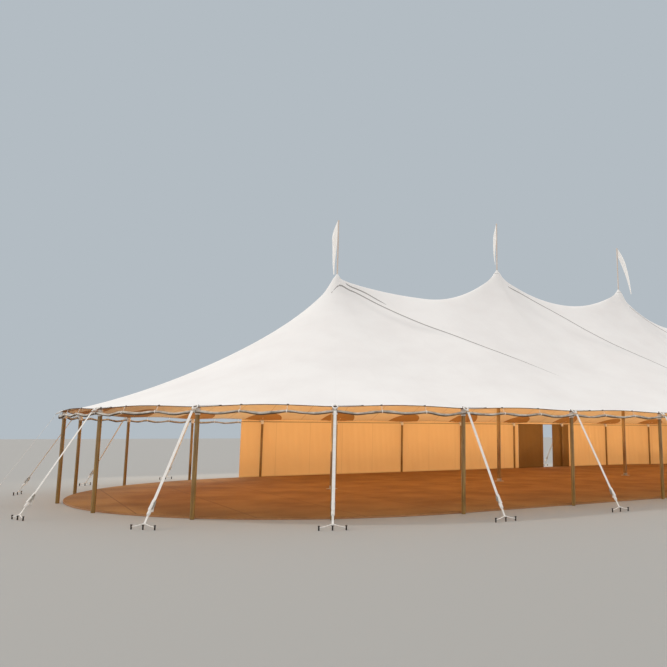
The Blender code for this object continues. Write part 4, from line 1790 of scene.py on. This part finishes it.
@dataclass
class RolledWall:
    """A wall cloth rolled up and slung under the eave, with a webbing tie at each third of a bay."""

    name: str
    node: str
    start: float
    end: float
    radius: float = 0.037
    line: float = 7.6003
    top: float = 2.265
    sag: float = 0.045
    ties_per_bay: int = 3
    turns: float = 14.0
    per_turn: int = 12
    free_edge: float = math.radians(200)
    step: float = 0.08
    wall_height: float = 2.15
    core: float = 0.006
    pinch_depth: float = 0.16
    pinch_reach: float = 0.07
    end_clear: float = 0.05
    tie_half: float = 0.011
    toggle_inset: float = 0.03
    toggle_half: float = 0.022

    def tie_share(self, distance: float) -> float:
        """Share of the way from one tie to the next."""
        x, y = FORM.outline(distance, FORM.half_span)
        return FORM.bay_share(x, y) * self.ties_per_bay % 1

    def centre_height(self, distance: float) -> float:
        """Height of the roll's middle, lowest between two ties and a little lower in some than in others."""
        share = self.tie_share(distance)
        slow, quick = Vector((distance * 0.9, 3.1, 0.0)), Vector((distance * 4.0, 0.0, 7.0))
        uneven = 1 + 0.55 * noise.noise(slow) + 0.25 * noise.noise(quick)
        return self.top - self.radius - self.sag * uneven * math.sin(math.pi * share) ** 1.5

    def build(self) -> None:
        """Builds the rolled cloth and its ties."""
        count = int((self.end - self.start) / self.step)
        around = int(self.turns * self.per_turn)
        points, uv = np.zeros((count + 1, around + 1, 3)), np.zeros((count + 1, around + 1, 2))
        for i in range(count + 1):
            d = self.start + (self.end - self.start) * i / count
            share = self.tie_share(d)
            pinch = 1 - self.pinch_depth * math.exp(-((min(share, 1 - share) / self.pinch_reach) ** 2))
            z0 = self.centre_height(d)
            for j in range(around + 1):
                angle = 2 * math.pi * j / self.per_turn + self.free_edge
                unwound = j / around
                crease = Vector((d * 6.0, math.cos(angle) * 1.6, math.sin(angle) * 1.6))
                wrinkle = 0.9 + 0.34 * noise.noise(crease) + 0.3 * noise.noise(Vector((d * 1.6, 5.0, 0.0)))
                r = (self.core + (self.radius - self.core) * unwound) * pinch * min(wrinkle, 1.08)
                x, y = FORM.outline(d, self.line + r * math.cos(angle) * 0.97)
                points[i, j] = (x, y, z0 + r * math.sin(angle) * 0.94)
                uv[i, j] = (d / WALL_PANEL, self.wall_height * unwound)
        # The rolled finish paints shade along the underside of the outer turn
        roll = cloth_grid(self.name, points, uv, [Finish.ROLLED])
        shade(roll, 180)
        put_on(roll, [self.node])
        ties = self.ties()
        flat = (self.end - self.start, self.wall_height)
        log.info("%s: %d faces", self.name, len(roll.data.polygons))

    def ties(self) -> Object:
        """Wraps a webbing tie round the roll at each tie place.

        Returns:
            All the ties of this wall.
        """
        r = self.radius * 0.9
        angles = np.linspace(0, 2 * math.pi, 17)[:-1]
        profile = [(r * 1.06 * math.cos(a), r * 1.02 * math.sin(a)) for a in angles]
        bays = self.ties_per_bay
        straight, curved = FORM.side_spacing / bays, math.pi * FORM.half_span / FORM.end_bays / bays
        corner = FORM.half_ridge + math.pi * FORM.half_span
        marks = [FORM.half_ridge + curved * i for i in range(FORM.end_bays * bays + 1)]
        marks += [corner + straight * i for i in range(1, (FORM.centre_poles - 1) * bays + 1)]
        side = 1 if self.end > 0 else -1
        low, high = sorted((abs(self.start), abs(self.end)))
        inside = [mark for mark in marks if low + self.end_clear < mark < high - self.end_clear]
        made = [self.tie(side * mark, profile) for mark in inside]
        return put_on(join(self.name + "_ties", made))

    def tie(self, distance: float, profile: list[Pair]) -> Object:
        """Wraps one tie round the roll and leads it up to a toggle on the eave.

        Args:
            distance: Its place along the outline.
            profile: The points round the roll, as offsets outwards and upwards.

        Returns:
            The tie.
        """
        z0 = self.centre_height(distance)
        points = []
        for offset in (-self.tie_half, self.tie_half):
            points += [(*FORM.outline(distance + offset, self.line + out), z0 + up) for out, up in profile]
        n = len(profile)
        faces = [(i, (i + 1) % n, n + (i + 1) % n, n + i) for i in range(n)]
        band = mesh_object("band", points, faces, [Finish.WEBBING])
        face_out(band)
        apply_modifier(band, "SOLIDIFY", thickness=0.002, offset=1.0)
        edge = FORM.eave_edge(FORM.bay_share(*FORM.outline(distance, FORM.half_span)))
        over = FORM.outline(distance, edge + 0.004)
        eave = FORM.cloth_height(*over)
        inner = edge - self.toggle_inset
        route = [(*FORM.outline(distance, self.line - 0.02), z0 + self.radius * 0.85), (*over, eave - 0.012),
                 (*FORM.outline(distance, inner), eave + 0.012)]
        hanger = tube("hanger", route, 0.005, 6, Finish.WEBBING)
        offsets = (-self.toggle_half, 0.0, self.toggle_half)
        bar = [(*FORM.outline(distance + offset, inner), eave + 0.016) for offset in offsets]
        toggle = tube("toggle", bar, 0.0085, 8, Finish.BLACK_NYLON)
        return join("tie", [band, hanger, toggle])


@dataclass
class Walls:
    """Every wall: the back wall with its doorway, its header, and the rolled walls of the ends and the front.

    Places are metres round the outline from the middle of the back, positive to the right.
    """

    past_left: float = 0.85
    bays_round_right: int = 2
    doorway: float = 3.6
    left_door: float = 1.65
    opening: float = 0.63
    right_door: float = 1.17
    seam: float = 0.001
    roll_gap: float = 0.02
    middle_gap: float = 0.01

    def build(self) -> None:
        """Builds the hanging walls from left to right, and then the rolls."""
        left = -FORM.half_ridge - self.past_left
        right = FORM.half_ridge + self.bays_round_right * FORM.end_step * FORM.half_span
        first_door, door = self.doorway, WallKind.DOOR
        slot = first_door + self.left_door
        second_door = slot + self.opening
        wall_on = second_door + self.right_door
        HangingWall("wall_back_left", "back_wall_left", left, first_door - self.seam).build()
        HangingWall("door_cloth_left", "door_panel_left", first_door, slot, door, phase=1.0).build()
        HangingWall("door_cloth_right", "door_panel_right", second_door, wall_on, door, fold=0.008,
                    phase=2.0).build()
        HangingWall("wall_back_right", "back_wall_right", wall_on + self.seam, right, phase=3.0).build()
        WallHeader(left, right).build()
        corner, gap = FORM.half_ridge + math.pi * FORM.half_span, self.roll_gap
        middle = corner + FORM.half_ridge - self.middle_gap
        rolls = {"left_end": (-corner, left - gap), "right_end": (right + gap, corner),
                 "front_left": (-middle, -corner - gap), "front_right": (corner + gap, middle)}
        for name, (start, end) in rolls.items():
            RolledWall(f"roll_{name}", f"rolled_wall_{name}", start, end).build()


# Floor


@dataclass
class Floor:
    """The boarded deck and the matting on it, in the shape of the plan."""

    radius: float = 7.37
    deck_top: float = 0.036
    top: float = 0.045
    matting_inset: float = 0.012

    def build(self) -> None:
        """Builds the deck and lays the matting."""
        deck = self.slab("deck_boards", Finish.PLYWOOD, self.radius, 0.0, self.deck_top)
        put_on(deck, ["floor_deck"])
        inner = self.radius - self.matting_inset
        matting = self.slab("floor_matting", Finish.MATTING, inner, self.deck_top, self.top)
        put_on(matting)
        log.info("floor: %.1f m2", math.pi * self.radius**2 + 4 * self.radius * FORM.half_ridge)

    def slab(self, name: str, finish: Finish, radius: float, low: float, high: float) -> Object:
        """Builds a slab with straight sides and half-round ends.

        Args:
            name: Its name.
            finish: Its material.
            radius: Half of its width.
            low: Its underside.
            high: Its top.

        Returns:
            The slab.
        """
        disc = Shape.rod(name, finish, (0, 0, low), (0, 0, high), radius, 128)
        make_active(disc.obj)
        bpy.ops.object.mode_set(mode="EDIT")
        bpy.ops.mesh.select_all(action="SELECT")
        bpy.ops.mesh.bisect(plane_co=(0, 0, 0), plane_no=(1, 0, 0), clear_inner=True)
        bpy.ops.mesh.select_all(action="SELECT")
        bpy.ops.transform.translate(value=(FORM.half_ridge, 0, 0))
        disc.pick("EDGE", lambda p: abs(p.x - FORM.half_ridge) < 0.001)
        bpy.ops.mesh.extrude_edges_move(TRANSFORM_OT_translate={"value": (-FORM.half_ridge, 0, 0)})
        bpy.ops.object.mode_set(mode="OBJECT")
        across = (True, False, False)
        apply_modifier(disc.obj, "MIRROR", use_axis=across, use_clip=True, merge_threshold=0.0005)
        face_out(disc.obj)
        disc.pick("EDGE", lambda p: p.z > high - 0.0005
                  and math.hypot(max(abs(p.x) - FORM.half_ridge, 0), p.y) > radius * 0.99)
        disc.bevel(0.003, 1)
        return disc.done(30)


# Studio


@dataclass
class Studio:
    """The pale floor, the soft light and the camera at the photograph's viewing angle."""

    eye: Point = (-18.311, -20.325, 1.757)
    yaw: float = 32.37
    pitch: float = 8.47
    lens: float = 36.387
    sensor: float = 36.0
    shift_x: float = -0.1738
    sight: float = 600.0
    sky: str = "#DAD9D9"
    backdrop: str = "#B3BCC3"
    ground: str = "#A9A8A4"
    to_sun: Point = (-0.469, 0.509, 0.722)
    sun_strength: float = 0.8
    sky_strength: float = 1.2
    sun_spread: float = 4.0
    sun_colour: str = "#FFFBF5"
    lamp_colour: str = "#FFE0B4"
    lamp_watts: float = 170.0
    lamp_size: Pair = (5.0, 5.0)
    lamp_places: tuple[float, ...] = (-12.0, -6.5, 0.0, 6.5, 12.0)
    down_share: float = 0.06
    eave_watts: float = 190.0
    eave_size: Pair = (27.0, 1.2)
    eave_reach: float = 5.7
    wash_watts: float = 440.0
    wash_size: Pair = (34.0, 2.2)
    wash_place: Point = (1.0, 11.5, 2.9)
    wash_colour: str = "#FFF2E0"

    def build(self) -> None:
        """Builds everything round the tent."""
        self.camera()
        self.floor()
        self.light()

    def camera(self) -> None:
        """Stands the camera where the photographer stood."""
        data = bpy.data.cameras.new("camera")
        data.lens, data.sensor_width, data.shift_x = self.lens, self.sensor, self.shift_x
        data.clip_end = self.sight
        camera = bpy.data.objects.new("camera", data)
        camera.location = self.eye
        camera.rotation_euler = (math.radians(90 + self.pitch), 0.0, math.radians(-self.yaw))
        bpy.context.scene.collection.objects.link(camera)
        bpy.context.scene.camera = camera

    def floor(self) -> None:
        """Lays the pale floor, just under the tent's feet."""
        deselect()
        bpy.ops.mesh.primitive_plane_add(size=500.0, location=(0.0, 0.0, -0.001))
        plane = bpy.context.view_layer.objects.active
        plane.name = "studio_floor"
        material, tree, out = blank_material("studio_floor")
        shader = add(tree, "BsdfPrincipled", None, {"Base Color": linear(self.ground), "Roughness": 0.9})
        tree.links.new(shader.outputs[0], out.inputs["Surface"])
        plane.data.materials.append(material)

    def light(self) -> None:
        """Sets the sky, the sun, the warm lamps inside the tent and the lamp behind its back wall.

        The camera sees a darker backdrop than the sky that lights the tent.
        """
        world = bpy.data.worlds.new("studio")
        world.use_nodes = True
        tree = world.node_tree
        seen = add(tree, "LightPath").outputs["Is Camera Ray"]
        light = add(tree, "Background", None, {"Color": linear(self.sky), "Strength": self.sky_strength})
        behind = add(tree, "Background", None, {"Color": linear(self.backdrop), "Strength": 1.0})
        mix = add(tree, "MixShader", None, {"Fac": seen, 1: light.outputs[0], 2: behind.outputs[0]})
        tree.links.new(mix.outputs[0], tree.nodes["World Output"].inputs["Surface"])
        bpy.context.scene.world = world
        bpy.context.scene.view_settings.view_transform = "Standard"
        sun = bpy.data.lights.new("sun", "SUN")
        sun.energy, sun.angle = self.sun_strength, math.radians(self.sun_spread)
        sun.color = linear(self.sun_colour)[:3]
        lamp = bpy.data.objects.new("sun", sun)
        lamp.rotation_euler = Vector(self.to_sun).to_track_quat("Z", "Y").to_euler()
        bpy.context.scene.collection.objects.link(lamp)
        up, down, level = math.pi, 0.0, math.radians(-90)
        watts, size, warm = self.lamp_watts, self.lamp_size, self.lamp_colour
        for i, x in enumerate(self.lamp_places, start=1):
            self.lamp(f"hall_up_{i}", size, watts, warm, (x, 0.0, 1.2), up)
            self.lamp(f"hall_down_{i}", size, watts * self.down_share, warm, (x, 0.0, 3.2), down)
        for side in (-1, 1):
            place = (0.0, side * self.eave_reach, 0.5)
            self.lamp(f"eave_glow_{side + 2}", self.eave_size, self.eave_watts, warm, place, up)
        self.lamp("wall_wash", self.wash_size, self.wash_watts, self.wash_colour, self.wash_place, level)

    def lamp(self, name: str, size: Pair, watts: float, colour: str, place: Point, turn: float) -> None:
        """Hangs a soft lamp that the camera doesn't see.

        Args:
            name: Its name.
            size: Its length and width. A square size gives a round lamp.
            watts: Its power.
            colour: The colour of its light.
            place: Its middle.
            turn: Its turn about X, 0 to shine down.
        """
        area = bpy.data.lights.new(name, "AREA")
        area.shape = "DISK" if size[0] == size[1] else "RECTANGLE"
        area.size, area.size_y, area.energy = *size, watts
        area.color = linear(colour)[:3]
        glow = bpy.data.objects.new(name, area)
        glow.location, glow.rotation_euler = place, (turn, 0.0, 0.0)
        glow.visible_camera = False
        bpy.context.scene.collection.objects.link(glow)


def main() -> None:
    """Builds the studio and every sub-assembly."""
    logging.basicConfig(level=logging.INFO, format="%(name)s %(message)s")
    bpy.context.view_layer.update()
    Studio().build()
    Roof().build()
    SidePoles().build()
    for i, x in enumerate(FORM.centre_x, start=1):
        CentrePole(i, x).build()
    Walls().build()
    Floor().build()
    bpy.context.view_layer.update()


if __name__ == "__main__":
    main()
